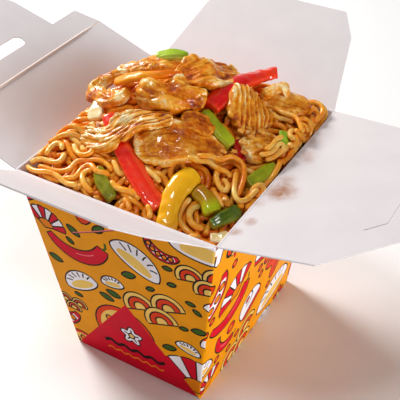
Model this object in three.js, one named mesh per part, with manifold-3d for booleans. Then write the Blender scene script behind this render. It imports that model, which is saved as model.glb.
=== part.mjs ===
// Noodle takeaway box: an open board carton of fried noodles with chicken and vegetables.
// Millimetres, +Z up. The origin is the middle of the base's underside. The gusset ends face -Y
// and +Y, and the flap with the carrying handle is on the -X side.
import * as THREE from 'three';
import { mergeVertices } from 'three/addons/utils/BufferGeometryUtils.js';
import Module from 'manifold-3d';

const wasm = await Module();
wasm.setup();

// ---------------------------------------------------------------- driving dimensions
const HEIGHT = 100;                  // rim above the table
const RIM = { x: 91, y: 103 };       // outside size at the rim
const BASE = { x: 66, y: 86 };       // outside size at the base
const BOARD = 0.6;                   // one layer of board
const GUSSET = 0.5;                  // folded web layers lying on each end panel
const GUSSET_PEAK = 45.5;            // height where the two webs' edges meet on an end panel
const GAP = 0.3;                     // air between pieces that touch
const CREASE = 0.4;                  // hinge line outside the wall
const FLAP_START = 0.1;              // board begins this far past its hinge line

// How far each flap leans above the horizontal, in degrees, as it stands open.
const LEAN = { left: 20, right: 7, front: 39, back: 30 };

// Half outlines of the flaps: [half width, distance from the hinge].
const SIDE_FLAP_HALF = RIM.y / 2 - BOARD;
const END_FLAP_HALF = RIM.x / 2 - BOARD;
const HANDLE_CREASE = 34.5;
const HANDLE_GAP = 0.4;
const LEFT_FLAP = [[SIDE_FLAP_HALF, FLAP_START], [SIDE_FLAP_HALF, HANDLE_CREASE - HANDLE_GAP]];
const RIGHT_FLAP = [[SIDE_FLAP_HALF, FLAP_START], [46.6, 34.6], [23.5, 56.3], [18, 59.5]];
const END_FLAP = [[END_FLAP_HALF, FLAP_START], [37.2, 36.9], [29.7, 49.1]];
const HANDLE = { half: 30.4, endHalf: 28.5, reach: 41, corner: 9, shoulder: [47.3, 12.8] };
const SLOT = { half: 11, from: 11.5, width: 6.3 };       // finger slot, from the handle's crease
const LOCK_SLIT = { half: 23, endHalf: 16, from: 42.5, to: 48.8, width: 0.8 };

// The heap of noodles: a broad mound, a smaller crown on it, and a slope from back to front.
const MOUND = { level: 93.5, slopeX: -0.05, slopeY: 0.13, twist: 0.0019 };
const SWELLS = [
  { rise: 20, x: -8, y: -1, spreadX: 44, spreadY: 50 },
  { rise: 5, x: -12, y: 12, spreadX: 24, spreadY: 22 },
];
const CORE_SINK = 2.0;               // the core's top under the noodles' own surface
const CORE_CELLS = { x: 10, y: 11 };
const NOODLE = {
  radius: 1.45, sides: 5, steps: 18, length: 52, shortest: 5, tries: 10, lift: 0.3, weave: 1.5,
};
const CURL = { length: [17, 26], swing: [0.9, 1.4] };    // of a noodle's waves: mm, and radians
const NOODLE_GRID = { x: 6, y: 7 };
const COVERED = 0.9;                 // share of a topping's half width that hides a noodle

const SEED = 7;                      // of every random draw
const CLEAR = 3;                     // a cutter reaches this far past what it cuts
const WELD = 1e-3;                   // corners closer than this are one corner
const FINEST = 0.03;                 // details smaller than this are left out of a cut piece

// ---------------------------------------------------------------- helpers
// Park and Miller's generator: the same draws on every run.
function seeded(seed) {
  let state = seed * 7919 + 12345;
  return () => {
    state = state * 48271 % 2147483647;
    return state / 2147483647;
  };
}

const between = (random, low, high) => low + (high - low) * random();
const clamp = THREE.MathUtils.clamp;
const radians = THREE.MathUtils.degToRad;

// Half the carton's outside width along one axis, at height z.
function outerHalf(axis, z) {
  const share = clamp(z / HEIGHT, 0, 1);
  return (BASE[axis] + (RIM[axis] - BASE[axis]) * share) / 2;
}

// Half the room inside the carton. The end panels carry the webs too.
function innerHalf(axis, z) {
  return outerHalf(axis, z) - BOARD - (axis === 'y' ? GUSSET : 0);
}

// Height of the noodles' surface over the base.
function moundHeight(x, y) {
  const plane = MOUND.level + MOUND.slopeX * x + MOUND.slopeY * y + MOUND.twist * x * y;
  return SWELLS.reduce((height, swell) => {
    const across = (x - swell.x) / swell.spreadX;
    const along = (y - swell.y) / swell.spreadY;
    return height + swell.rise * Math.exp(-across * across - along * along);
  }, plane);
}

function moundNormal(x, y) {
  const step = 0.5;
  const slopeX = (moundHeight(x + step, y) - moundHeight(x - step, y)) / (2 * step);
  const slopeY = (moundHeight(x, y + step) - moundHeight(x, y - step)) / (2 * step);
  return new THREE.Vector3(-slopeX, -slopeY, 1).normalize();
}

function toSolid(geometry) {
  const bare = geometry.clone();
  bare.deleteAttribute('normal');
  bare.deleteAttribute('uv');
  const merged = mergeVertices(bare, WELD);
  return new wasm.Manifold(new wasm.Mesh({
    numProp: 3,
    vertProperties: new Float32Array(merged.attributes.position.array),
    triVerts: new Uint32Array(merged.index.array),
  }));
}

function toGeometry(solid) {
  const { vertProperties, triVerts } = solid.getMesh();
  const geometry = new THREE.BufferGeometry();
  geometry.setAttribute('position', new THREE.BufferAttribute(vertProperties, 3));
  geometry.setIndex(new THREE.BufferAttribute(triVerts, 1));
  return geometry;
}

// The largest body of a solid that a cut may have left in pieces, with its corners welded first.
function largestBody(solid) {
  const bodies = toSolid(toGeometry(solid.simplify(FINEST))).decompose();
  return bodies.reduce((best, body) => (body.volume() > best.volume() ? body : best));
}

function boxesMeet(a, b) {
  const boxA = a.boundingBox();
  const boxB = b.boundingBox();
  return [0, 1, 2].every((i) => boxA.min[i] < boxB.max[i] && boxB.min[i] < boxA.max[i]);
}

function material(colour, roughness) {
  return new THREE.MeshStandardMaterial({ color: colour, roughness, metalness: 0 });
}

function named(name, geometry, finish) {
  const mesh = new THREE.Mesh(geometry, finish);
  mesh.name = name;
  return mesh;
}

// ---------------------------------------------------------------- carton
// A box whose four walls follow the half widths that half(axis, z) gives.
function taperedBox(half, bottom, top) {
  const geometry = new THREE.BoxGeometry(2, 2, 1);
  const place = geometry.attributes.position;
  for (let i = 0; i < place.count; i++) {
    const z = place.getZ(i) < 0 ? bottom : top;
    place.setXYZ(i, place.getX(i) * half('x', z), place.getY(i) * half('y', z), z);
  }
  return geometry;
}

// The triangle of an end panel that the folded webs leave bare, as a wedge cut GUSSET deep.
function bareTriangle(side) {
  const rise = new THREE.Vector3(0, side * (RIM.y - BASE.y) / 2, HEIGHT).normalize();
  const across = new THREE.Vector3(-side, 0, 0);
  const outward = across.clone().cross(rise);
  const flare = BASE.x / 2 * (1 + CLEAR / GUSSET_PEAK);
  const shape = new THREE.Shape([
    new THREE.Vector2(-flare, -CLEAR),
    new THREE.Vector2(flare, -CLEAR),
    new THREE.Vector2(0, GUSSET_PEAK),
  ]);
  const wedge = new THREE.ExtrudeGeometry(shape, { depth: GUSSET + CLEAR, bevelEnabled: false });
  wedge.translate(0, 0, -GUSSET);
  wedge.applyMatrix4(new THREE.Matrix4().makeBasis(across, rise, outward)
    .setPosition(0, side * BASE.y / 2, 0));
  return wedge;
}

function carton() {
  const cavity = (axis, z) => {
    const taper = (RIM[axis] - BASE[axis]) / 2 / HEIGHT;
    return innerHalf(axis, 0) + taper * z;
  };
  let solid = toSolid(taperedBox(outerHalf, 0, HEIGHT));
  solid = solid.subtract(toSolid(taperedBox(cavity, BOARD, HEIGHT + CLEAR)));
  solid = solid.subtract(toSolid(bareTriangle(-1)));
  solid = solid.subtract(toSolid(bareTriangle(1)));
  return toGeometry(solid);
}

// ---------------------------------------------------------------- flaps
// A flat panel from half an outline, mirrored, lying in the XY plane about its mid thickness.
function panel(halfOutline, holes = []) {
  const right = halfOutline.map(([half, reach]) => new THREE.Vector2(half, reach));
  const left = right.map((p) => new THREE.Vector2(-p.x, p.y)).reverse();
  const shape = new THREE.Shape([...right, ...left]);
  shape.holes.push(...holes);
  const geometry = new THREE.ExtrudeGeometry(shape, {
    depth: BOARD, bevelEnabled: false, curveSegments: 6,
  });
  return geometry.translate(0, 0, -BOARD / 2);
}

function handleOutline() {
  const { half, endHalf, reach, corner, shoulder } = HANDLE;
  const outline = [[SIDE_FLAP_HALF, HANDLE_GAP], shoulder, [half, shoulder[1]]];
  for (let i = 0; i <= 4; i++) {
    const turn = radians(90 * i / 4);
    outline.push([
      endHalf - corner * (1 - Math.cos(turn)),
      reach - corner * (1 - Math.sin(turn)),
    ]);
  }
  return outline;
}

function fingerSlot() {
  const radius = SLOT.width / 2;
  const middle = SLOT.from + radius;
  const path = new THREE.Path();
  path.absarc(SLOT.half - radius, middle, radius, -Math.PI / 2, Math.PI / 2, false);
  path.absarc(radius - SLOT.half, middle, radius, Math.PI / 2, 3 * Math.PI / 2, false);
  path.closePath();
  return path;
}

function lockSlit() {
  const { half, endHalf, from, to, width } = LOCK_SLIT;
  const line = [[-half, from], [-endHalf, to], [endHalf, to], [half, from]];
  const inner = line.map(([u, v]) => [u * (1 - width / half), v - width]).reverse();
  return new THREE.Path([...line, ...inner].map(([u, v]) => new THREE.Vector2(u, v)));
}

// A group whose local X runs along a rim crease and whose local Y runs out along its flap.
function hinge(side, turn, x, y) {
  const group = new THREE.Group();
  group.position.set(x, y, HEIGHT);
  group.rotation.set(radians(LEAN[side]), 0, radians(turn), 'ZXY');
  return group;
}

function flaps(board) {
  const left = hinge('left', 90, -RIM.x / 2 - CREASE, 0);
  const handle = named('flap_handle', panel(handleOutline(), [fingerSlot()]), board);
  handle.position.y = HANDLE_CREASE;
  left.add(named('flap_left', panel(LEFT_FLAP), board), handle);
  const right = hinge('right', -90, RIM.x / 2 + CREASE, 0);
  right.add(named('flap_right', panel(RIGHT_FLAP, [lockSlit()]), board));
  const front = hinge('front', 180, 0, -RIM.y / 2 - CREASE);
  front.add(named('flap_front', panel(END_FLAP), board));
  const back = hinge('back', 0, 0, RIM.y / 2 + CREASE);
  back.add(named('flap_back', panel(END_FLAP), board));
  return [left, right, front, back];
}

// ---------------------------------------------------------------- toppings
// Every topping is a slice or a strip laid on the heap. Its spine is a list of [x, y, lift over
// the noodles]. width and thick are the middle section, taper narrows its far end, cup bends the
// section, blunt squares its ends, ruffle waves its edges and roll turns it about its spine.
const CHICKEN = { finish: material(0xb5702a, 0.4), rings: 10, points: 10, blunt: 2.6, square: 2.4 };
const STRIP = { rings: 7, points: 8, blunt: 7, square: 3.6 };
const RED = { ...STRIP, finish: material(0xc8141a, 0.3) };
const YELLOW = { ...STRIP, finish: material(0xe0a010, 0.35) };
const ORANGE = { ...STRIP, finish: material(0xe08a28, 0.4) };
const GREEN = { ...STRIP, finish: material(0x7fa82c, 0.4) };
const ONION = { ...STRIP, finish: material(0xe8d9a0, 0.45), rings: 5 };

// From the lowest piece to the highest: each is trimmed where a later one lies over it.
const TOPPINGS = {
  onion_front: { ...ONION, spine: [[35, -38, 1.5], [38, -36, 1.5], [40, -33, 1.5]], width: 3.4, thick: 2 },
  onion_left: {
    ...ONION, spine: [[-30.6, -18, 2], [-33, -13, 3.4], [-35, -9, 4.4]], width: 7, thick: 2.6, taper: 0.6,
  },
  pepper_olive: {
    ...GREEN, spine: [[-15, -38, 1.6], [-9.5, -42.5, 1.6], [-3, -45.5, 1.4]], width: 5, thick: 3, cup: 1,
  },
  pepper_lime: {
    ...GREEN, spine: [[22, -26, 1.8], [27, -27, 2.2], [31.5, -30, 2]], width: 7, thick: 4, cup: 1,
  },
  bean_front: { ...GREEN, spine: [[33, -34, 2], [36, -29, 2.2], [39, -23, 2]], width: 5, thick: 4.4 },
  bean_right: { ...GREEN, spine: [[37, -12, 2.2], [39, -6, 2.4], [41, 2, 2]], width: 5.2, thick: 4.8 },
  bean_small: { ...GREEN, spine: [[36, 20, 1.8], [39, 13, 1.8]], width: 4.6, thick: 3.4, rings: 5 },
  bean_middle: { ...GREEN, spine: [[9, 2, 2.4], [16, -1, 2.6], [24, -3, 2.6]], width: 5.6, thick: 5.4 },
  pepper_red_small: { ...RED, spine: [[24, 2, 1.5], [30, -4, 1.5]], width: 5, thick: 3, rings: 5 },
  pepper_yellow: {
    ...YELLOW, spine: [[20.5, -45.5, 1.4], [17.6, -38, 2.6], [16.7, -30, 3], [18.8, -21.5, 2.4]],
    width: 9, thick: 3.4, cup: 1.2, taper: 0.9, rings: 9,
  },
  pepper_red_long: {
    ...RED, spine: [[-24, -17, 3.4], [-11, -27, 2], [3, -35, 2], [14, -40, 2]], width: 7.4,
    thick: 3.4, cup: 0.5, rings: 9,
  },
  chicken_crumbly: {
    ...CHICKEN, spine: [[29, -2, 2.6], [33, 5, 3.2], [37.5, 12.5, 2.6]], width: 14, thick: 6,
    ruffle: 1.4,
  },
  chicken_flat: {
    ...CHICKEN, spine: [[20, 29, 2.6], [30, 36, 3], [38, 40, 2.4]], width: 14, thick: 4, ruffle: 1,
  },
  chicken_centre: {
    ...CHICKEN, spine: [[-6, -26, 2.6], [2, -20, 3.4], [12, -14, 3.6], [24, -7, 2.8]], width: 22,
    thick: 4.6, taper: 0.6, cup: -1.6, ruffle: 1, rings: 12, points: 12,
  },
  chicken_small: {
    ...CHICKEN, spine: [[4.5, -9, 3.6], [10, -5.5, 4], [16.5, -4, 3.6]], width: 9, thick: 5, rings: 8,
  },
  chicken_right: {
    ...CHICKEN, spine: [[19, 26, 6], [22.5, 16, 5], [26, 5, 3.6]], width: 23, thick: 6, cup: -1,
    roll: -25, ruffle: 0.8,
  },
  pepper_red_glossy: {
    ...RED, spine: [[10.5, 4, 4], [11.5, 13, 5.4], [12.5, 26, 7], [15.5, 37, 7.6], [19.5, 46, 8]],
    width: 9, thick: 3.6, cup: 1.4, rings: 10,
  },
  chicken_crisp: {
    ...CHICKEN, spine: [[22, 28, 6.4], [24, 36, 6.4], [29, 39, 5.4]], width: 6, thick: 4, ruffle: 1.6,
    rings: 8,
  },
  chicken_fibrous: {
    ...CHICKEN, spine: [[-30, -25, 2.8], [-19, -26, 4.4], [-9, -18, 6.2], [2.5, -11, 7]], width: 14,
    thick: 3.4, taper: 0.55, ruffle: 1.4, cup: -0.8, blunt: 5, rings: 12,
  },
  chicken_back: {
    ...CHICKEN, spine: [[-38, 9, 4.8], [-28, 13, 6], [-17, 18, 5.8], [-8, 28, 4.6]], width: 16,
    thick: 8, ruffle: 1,
  },
  chicken_glossy: {
    ...CHICKEN, spine: [[-7, 7, 5.8], [1, 19, 7], [6.5, 34, 6]], width: 20, thick: 5.4, cup: -1.4,
    ruffle: 1,
  },
  chicken_top: {
    ...CHICKEN, spine: [[-17, -6, 4.6], [-5, -3.5, 5.8], [8, 5, 4.8]], width: 14.5, thick: 9, ruffle: 1,
  },
  chicken_curled: {
    ...CHICKEN, width: 7, thick: 4.6, ruffle: 0.8, rings: 13, points: 9,
    spine: [[-41, -5, 4.4], [-41, 3, 5.8], [-33, 2, 7], [-23, -4, 6.4], [-22, -10, 4.6], [-31, -11, 3.4]],
  },
  pepper_orange: {
    ...ORANGE, spine: [[-27, -6, 9], [-16, -2, 9.8], [-6, 4, 10.2], [1, 15, 10.2]], width: 6,
    thick: 2.6, taper: 0.5,
  },
  bean_top: {
    ...GREEN, spine: [[-23, 15, 9.6], [-17.5, 18.5, 9.8], [-12.5, 24, 9.2]], width: 6.6, thick: 4,
    blunt: 2.6, square: 2.4,
  },
};

function spineCurve(piece) {
  return new THREE.CatmullRomCurve3(piece.spine.map(([x, y, lift]) => (
    new THREE.Vector3(x, y, moundHeight(x, y) + lift))));
}

// A closed slice or strip along its spine, grown on every side by grow.
function slab(piece, seed, grow = 0) {
  const { rings, points, blunt, square } = piece;
  const { taper = 1, cup = 0, ruffle = 0, roll = 0 } = piece;
  const random = seeded(seed);
  const phases = [0, 1, 2, 3].map(() => between(random, 0, 2 * Math.PI));
  const curve = spineCurve(piece);
  const length = curve.getLength();
  const positions = [];
  const placeRing = (share, size) => {
    const centre = curve.getPointAt(clamp(share, 0, 1));
    const along = curve.getTangentAt(clamp(share, 0, 1));
    const overrun = share - clamp(share, 0, 1);
    centre.addScaledVector(along, overrun * length);
    const up = moundNormal(centre.x, centre.y).applyAxisAngle(along, radians(roll));
    const side = along.clone().cross(up).normalize();
    up.crossVectors(side, along).normalize();
    const narrowing = 1 + (taper - 1) * clamp(share, 0, 1);
    const wobble = 1 + 0.12 * Math.sin(5 * share + phases[0]);
    const halfWidth = piece.width / 2 * narrowing * wobble * size + grow;
    const halfThick = piece.thick / 2 * (0.35 + 0.65 * size) * (size > 0 ? 1 : 0) + grow;
    for (let i = 0; i < points; i++) {
      const angle = 2 * Math.PI * i / points;
      const round = (v) => Math.sign(v) * Math.abs(v) ** (2 / square);
      const across = round(Math.cos(angle));
      const wave = Math.sin(9 * share + phases[1] + (across > 0 ? phases[2] : phases[3]));
      const lift = cup * (1 - across * across) + ruffle * wave * across * across * size;
      positions.push(centre.clone()
        .addScaledVector(side, across * halfWidth)
        .addScaledVector(up, round(Math.sin(angle)) * halfThick + lift));
    }
  };
  for (let ring = 0; ring < rings; ring++) {
    const t = (1 - Math.cos(Math.PI * (ring + 0.35) / (rings - 0.3))) / 2;
    const size = (1 - Math.abs(2 * t - 1) ** blunt) ** (1 / blunt);
    placeRing(t * (1 + 2 * grow / length) - grow / length, size);
  }
  const first = positions.slice(0, points);
  const last = positions.slice(-points);
  const mean = (ring) => ring.reduce((sum, p) => sum.add(p), new THREE.Vector3())
    .divideScalar(points);
  positions.push(mean(first), mean(last));
  return closedSleeve(positions, rings, points);
}

// Faces of rings of equal length joined into a sleeve, with a fan to a point at each end.
function closedSleeve(positions, rings, points) {
  const index = [];
  const start = rings * points;
  for (let ring = 0; ring < rings - 1; ring++) {
    for (let i = 0; i < points; i++) {
      const a = ring * points + i;
      const b = ring * points + (i + 1) % points;
      index.push(a, a + points, b, b, a + points, b + points);
    }
  }
  for (let i = 0; i < points; i++) {
    const next = (i + 1) % points;
    const lastRing = (rings - 1) * points;
    index.push(start, i, next, start + 1, lastRing + next, lastRing + i);
  }
  const geometry = new THREE.BufferGeometry().setFromPoints(positions);
  geometry.setIndex(index);
  return outwardFaces(geometry);
}

// Turns a closed mesh's faces outward.
function outwardFaces(geometry) {
  const place = geometry.attributes.position;
  const index = geometry.index.array;
  const corner = (i) => new THREE.Vector3().fromBufferAttribute(place, index[i]);
  let volume = 0;
  for (let i = 0; i < index.length; i += 3) {
    volume += corner(i).dot(corner(i + 1).cross(corner(i + 2)));
  }
  if (volume < 0) {
    for (let i = 0; i < index.length; i += 3) {
      [index[i], index[i + 1]] = [index[i + 1], index[i]];
    }
  }
  return geometry;
}

// All toppings as solids, each trimmed by the ones that lie over it.
function layToppings() {
  const names = Object.keys(TOPPINGS);
  const grown = names.map((name, i) => toSolid(slab(TOPPINGS[name], i + SEED, GAP)));
  const solids = names.map((name, i) => toSolid(slab(TOPPINGS[name], i + SEED)));
  names.forEach((name, i) => {
    for (let over = i + 1; over < names.length; over++) {
      if (boxesMeet(solids[i], grown[over])) solids[i] = solids[i].subtract(grown[over]);
    }
    solids[i] = largestBody(solids[i]);
  });
  return { names, solids, grown };
}

// ---------------------------------------------------------------- noodles
// Bare core of the heap: it fills the carton and follows the mound just under the noodles.
function heapCore() {
  const geometry = new THREE.BoxGeometry(2, 2, 1, CORE_CELLS.x, CORE_CELLS.y, 1);
  const place = geometry.attributes.position;
  for (let i = 0; i < place.count; i++) {
    const [shareX, shareY] = [place.getX(i), place.getY(i)];
    const spread = (z) => [
      shareX * (innerHalf('x', z) - GAP), shareY * (innerHalf('y', z) - GAP), z,
    ];
    if (place.getZ(i) > 0) {
      const [x, y] = spread(moundHeight(...spread(HEIGHT)));
      place.setXYZ(i, ...spread(moundHeight(x, y) - CORE_SINK));
    } else {
      place.setXYZ(i, ...spread(BOARD + GAP));
    }
  }
  return geometry;
}

// Discs along every topping's spine. A noodle that comes to one has gone under the topping.
function toppingFootprints() {
  return Object.values(TOPPINGS).flatMap((piece) => (
    spineCurve(piece).getSpacedPoints(8).map((centre) => ({
      centre, reach: piece.width / 2 * COVERED, underside: centre.z - piece.thick / 2,
    }))));
}

function isCovered(point, footprints) {
  return footprints.some(({ centre, reach, underside }) => (
    underside < point.z + NOODLE.radius
    && Math.hypot(point.x - centre.x, point.y - centre.y) < reach));
}

// Half a noodle: a wavy path over the mound that ends at the carton or under a topping.
function wavyWalk(startX, startY, heading, wave, footprints) {
  const { steps, length, radius, lift, weave } = NOODLE;
  const pace = length / steps;
  const points = [];
  let [x, y] = [startX, startY];
  for (let i = 0; i <= steps / 2; i++) {
    const phase = wave.phase + 2 * Math.PI * i * pace / wave.length;
    const z = moundHeight(x, y) + lift + weave * Math.sin(phase / 2);
    const room = (axis) => innerHalf(axis, z - radius) - GAP - radius;
    if (Math.abs(x) > room('x') || Math.abs(y) > room('y')) break;
    const point = new THREE.Vector3(x, y, z);
    if (isCovered(point, footprints)) break;
    points.push(point);
    const turn = heading + wave.swing * Math.sin(phase);
    x += pace * Math.cos(turn);
    y += pace * Math.sin(turn);
  }
  return points;
}

// The longest of a few random noodles through one cell of the grid.
function noodlePath(column, row, random, footprints) {
  let best = [];
  for (let i = 0; i < NOODLE.tries; i++) {
    const x = RIM.x * ((column + random()) / NOODLE_GRID.x - 0.5);
    const y = RIM.y * ((row + random()) / NOODLE_GRID.y - 0.5);
    const heading = between(random, 0, 2 * Math.PI);
    const wave = {
      length: between(random, ...CURL.length),
      swing: between(random, ...CURL.swing),
      phase: between(random, 0, 2 * Math.PI),
    };
    const ahead = wavyWalk(x, y, heading, wave, footprints);
    const behind = wavyWalk(x, y, heading + Math.PI, { ...wave, swing: -wave.swing }, footprints);
    const path = [...behind.slice(1).reverse(), ...ahead];
    if (path.length > best.length) best = path;
  }
  return best;
}

function noodle(points) {
  const section = new THREE.Shape();
  for (let i = 0; i < NOODLE.sides; i++) {
    const angle = 2 * Math.PI * i / NOODLE.sides;
    const corner = [NOODLE.radius * Math.cos(angle), NOODLE.radius * Math.sin(angle)];
    if (i === 0) section.moveTo(...corner);
    else section.lineTo(...corner);
  }
  section.closePath();
  return new THREE.ExtrudeGeometry(section, {
    steps: points.length - 1, bevelEnabled: false, extrudePath: new THREE.CatmullRomCurve3(points),
  });
}

// The heap with its noodles fused on. Each noodle, like the core, is cut back from the toppings.
function noodleHeap(toppings) {
  const random = seeded(SEED);
  const footprints = toppingFootprints();
  const cutBack = (solid) => toppings.reduce((left, topping) => (
    boxesMeet(left, topping) ? left.subtract(topping) : left), solid);
  let heap = cutBack(toSolid(heapCore()));
  for (let column = 0; column < NOODLE_GRID.x; column++) {
    for (let row = 0; row < NOODLE_GRID.y; row++) {
      const path = noodlePath(column, row, random, footprints);
      if (path.length < NOODLE.shortest) continue;
      heap = heap.add(largestBody(cutBack(toSolid(noodle(path)))));
    }
  }
  return toGeometry(largestBody(heap));
}

// ---------------------------------------------------------------- assembly
const part = new THREE.Group();
const board = material(0xe9a32a, 0.6);
const toppings = layToppings();

part.add(named('carton', carton(), board));
part.add(...flaps(material(0xefe8e6, 0.6)));
part.add(named('noodles', noodleHeap(toppings.grown), material(0xd39a4a, 0.45)));
toppings.names.forEach((name, i) => {
  part.add(named(name, toGeometry(toppings.solids[i]), TOPPINGS[name].finish));
});

export default part;
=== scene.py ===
"""Looks of the noodle takeaway box: printed board carton, fried noodles and their toppings.

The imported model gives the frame. Sizes below are millimetres in its axes (+Z up, the gusset
ends face -Y and +Y, the handle is on the -X side), turned into metres where meshes are made.
"""
import math

import bpy
import numpy as np
from mathutils import Matrix, Vector
from mathutils.geometry import delaunay_2d_cdt


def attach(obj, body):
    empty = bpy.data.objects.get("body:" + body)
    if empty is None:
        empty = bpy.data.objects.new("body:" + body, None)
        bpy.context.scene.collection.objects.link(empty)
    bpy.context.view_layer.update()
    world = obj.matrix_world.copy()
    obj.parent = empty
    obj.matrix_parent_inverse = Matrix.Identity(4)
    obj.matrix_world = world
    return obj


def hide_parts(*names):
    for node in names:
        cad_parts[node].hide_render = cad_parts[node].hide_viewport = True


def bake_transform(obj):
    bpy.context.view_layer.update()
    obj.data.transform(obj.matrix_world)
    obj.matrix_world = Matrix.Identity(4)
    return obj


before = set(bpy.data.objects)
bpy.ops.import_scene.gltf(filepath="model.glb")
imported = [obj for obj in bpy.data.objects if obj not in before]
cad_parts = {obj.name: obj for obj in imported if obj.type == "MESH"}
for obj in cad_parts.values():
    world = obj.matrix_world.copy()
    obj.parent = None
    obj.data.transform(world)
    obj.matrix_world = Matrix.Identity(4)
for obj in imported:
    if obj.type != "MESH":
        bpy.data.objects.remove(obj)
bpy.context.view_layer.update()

# ---------------------------------------------------------------- sizes
MM = 0.001
HEIGHT = 100.0
RIM = np.array([91.0, 103.0])
BASE = np.array([66.0, 86.0])
BOARD = 0.6
GUSSET = 0.5
GUSSET_PEAK = 45.5
INK = 0.3                     # depth of the printed layer, most of it sunk in the board
FLAP_INK = 0.08               # the same on the flaps, which show their edges
SUNK = 0.2                    # how far the board itself lies behind the printed faces
FOLD_RADIUS = 1.2             # of the carton's upright corners
INNER_RADIUS = 0.6
BULGE = 0.7                   # how far the filled walls bow outward
CREASE = 0.4
FLAP_START = 0.1
LEAN = {"left": 20, "right": 7, "front": 39, "back": 30}
HANDLE_CREASE = 34.5
HANDLE_GAP = 0.4
SIDE_HALF = RIM[1] / 2 - BOARD
END_HALF = RIM[0] / 2 - BOARD

MOUND = {"level": 93.5, "slope_x": -0.05, "slope_y": 0.13, "twist": 0.0019}
SWELLS = ((20, -8, -1, 44, 50), (5, -12, 12, 24, 22))    # rise, x, y, spread x, spread y
TURN = 2 * math.pi

CAMERA = {
    "azimuth": 31.1033, "elevation": 38.3528, "roll": 0.4847,
    "place": (153.3439, -241.0660, 294.1231), "focal_px": 835.7547, "frame_px": 400,
}
SENSOR = 36                   # millimetres across Blender's camera sensor


# ---------------------------------------------------------------- helpers
def waves(points, length, seed, stretch=(1, 1, 1), count=18):
    """Smooth seeded noise of about unit spread: a sum of waves about one length long."""
    draw = np.random.default_rng(seed)
    turn = draw.normal(size=(count, 3))
    turn /= np.linalg.norm(turn, axis=1)[:, None]
    turn *= (TURN / length) * draw.uniform(0.6, 1.5, (count, 1)) / np.array(stretch)
    phase = draw.uniform(0, TURN, count)
    return np.cos(np.asarray(points) @ turn.T + phase).sum(-1) * math.sqrt(2 / count)


def unit(vectors):
    return vectors / (np.linalg.norm(vectors, axis=-1, keepdims=True) + 1e-12)


def mound_height(x, y):
    z = MOUND["level"] + MOUND["slope_x"] * x + MOUND["slope_y"] * y + MOUND["twist"] * x * y
    for rise, cx, cy, sx, sy in SWELLS:
        z = z + rise * np.exp(-((x - cx) / sx) ** 2 - ((y - cy) / sy) ** 2)
    return z


def mound_normal(x, y, step=0.5):
    normal = np.stack([
        (mound_height(x - step, y) - mound_height(x + step, y)) / (2 * step),
        (mound_height(x, y - step) - mound_height(x, y + step)) / (2 * step),
        np.ones_like(x, dtype=float),
    ], -1)
    return normal / np.linalg.norm(normal, axis=-1, keepdims=True)


def inner_half(axis, z):
    """Half the room inside the carton at a height."""
    half = (BASE[axis] + (RIM[axis] - BASE[axis]) * np.clip(z / HEIGHT, 0, 1)) / 2
    return half - BOARD - (GUSSET if axis == 1 else 0)


def smooth_path(points, spacing):
    """A Catmull-Rom curve through the points, resampled evenly."""
    points = np.asarray(points, float)
    padded = np.concatenate([[2 * points[0] - points[1]], points, [2 * points[-1] - points[-2]]])
    t = np.linspace(0, 1, 16, endpoint=False)[:, None]
    parts = []
    for p0, p1, p2, p3 in zip(padded, padded[1:], padded[2:], padded[3:]):
        parts.append(0.5 * (2 * p1 + (p2 - p0) * t + (2 * p0 - 5 * p1 + 4 * p2 - p3) * t ** 2
                            + (3 * p1 - p0 - 3 * p2 + p3) * t ** 3))
    fine = np.concatenate(parts + [points[-1:]])
    run = np.concatenate([[0], np.cumsum(np.linalg.norm(np.diff(fine, axis=0), axis=1))])
    count = max(2, int(round(run[-1] / spacing)) + 1)
    at = np.linspace(0, run[-1], count)
    return np.stack([np.interp(at, run, fine[:, k]) for k in range(3)], 1)


def mesh_piece(name, vertices, faces, materials, smooth=True, face_material=None, **attributes):
    """A mesh object from millimetre vertices, with number or vector attributes on its points."""
    mesh = bpy.data.meshes.new(name)
    mesh.from_pydata((np.asarray(vertices, float) * MM).tolist(), [], [list(f) for f in faces])
    for finish in materials:
        mesh.materials.append(finish)
    if face_material is not None:
        mesh.polygons.foreach_set("material_index", np.asarray(face_material, np.int32))
    mesh.polygons.foreach_set("use_smooth", np.full(len(mesh.polygons), smooth))
    for key, values in attributes.items():
        values = np.asarray(values, np.float32)
        kind, field = ("FLOAT", "value") if values.ndim == 1 else ("FLOAT_VECTOR", "vector")
        mesh.attributes.new(key, kind, "POINT").data.foreach_set(field, values.ravel())
    mesh.validate()
    mesh.update()
    piece = bpy.data.objects.new(name, mesh)
    bpy.context.scene.collection.objects.link(piece)
    return piece


def sleeve_faces(rings, points):
    """Quads between rings of equal length, and fans to two last vertices that close the ends."""
    ring, i = np.meshgrid(np.arange(rings - 1), np.arange(points), indexing="ij")
    a = ring * points + i
    b = ring * points + (i + 1) % points
    faces = np.stack([a, b, b + points, a + points], -1).reshape(-1, 4).tolist()
    tip = rings * points
    last = (rings - 1) * points
    for k in range(points):
        after = (k + 1) % points
        faces.append([tip, after, k])
        faces.append([tip + 1, last + k, last + after])
    return faces


# ---------------------------------------------------------------- materials
def srgb(red, green, blue):
    """Linear colour from 0..255 display values."""
    values = np.array([red, green, blue]) / 255
    linear = np.where(values <= 0.04045, values / 12.92, ((values + 0.055) / 1.055) ** 2.4)
    return (*linear.tolist(), 1.0)


def grey(value):
    return (value, value, value, 1.0)


def dimmed(colour, share):
    return tuple(c * share for c in colour[:3]) + (1.0,)


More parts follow.
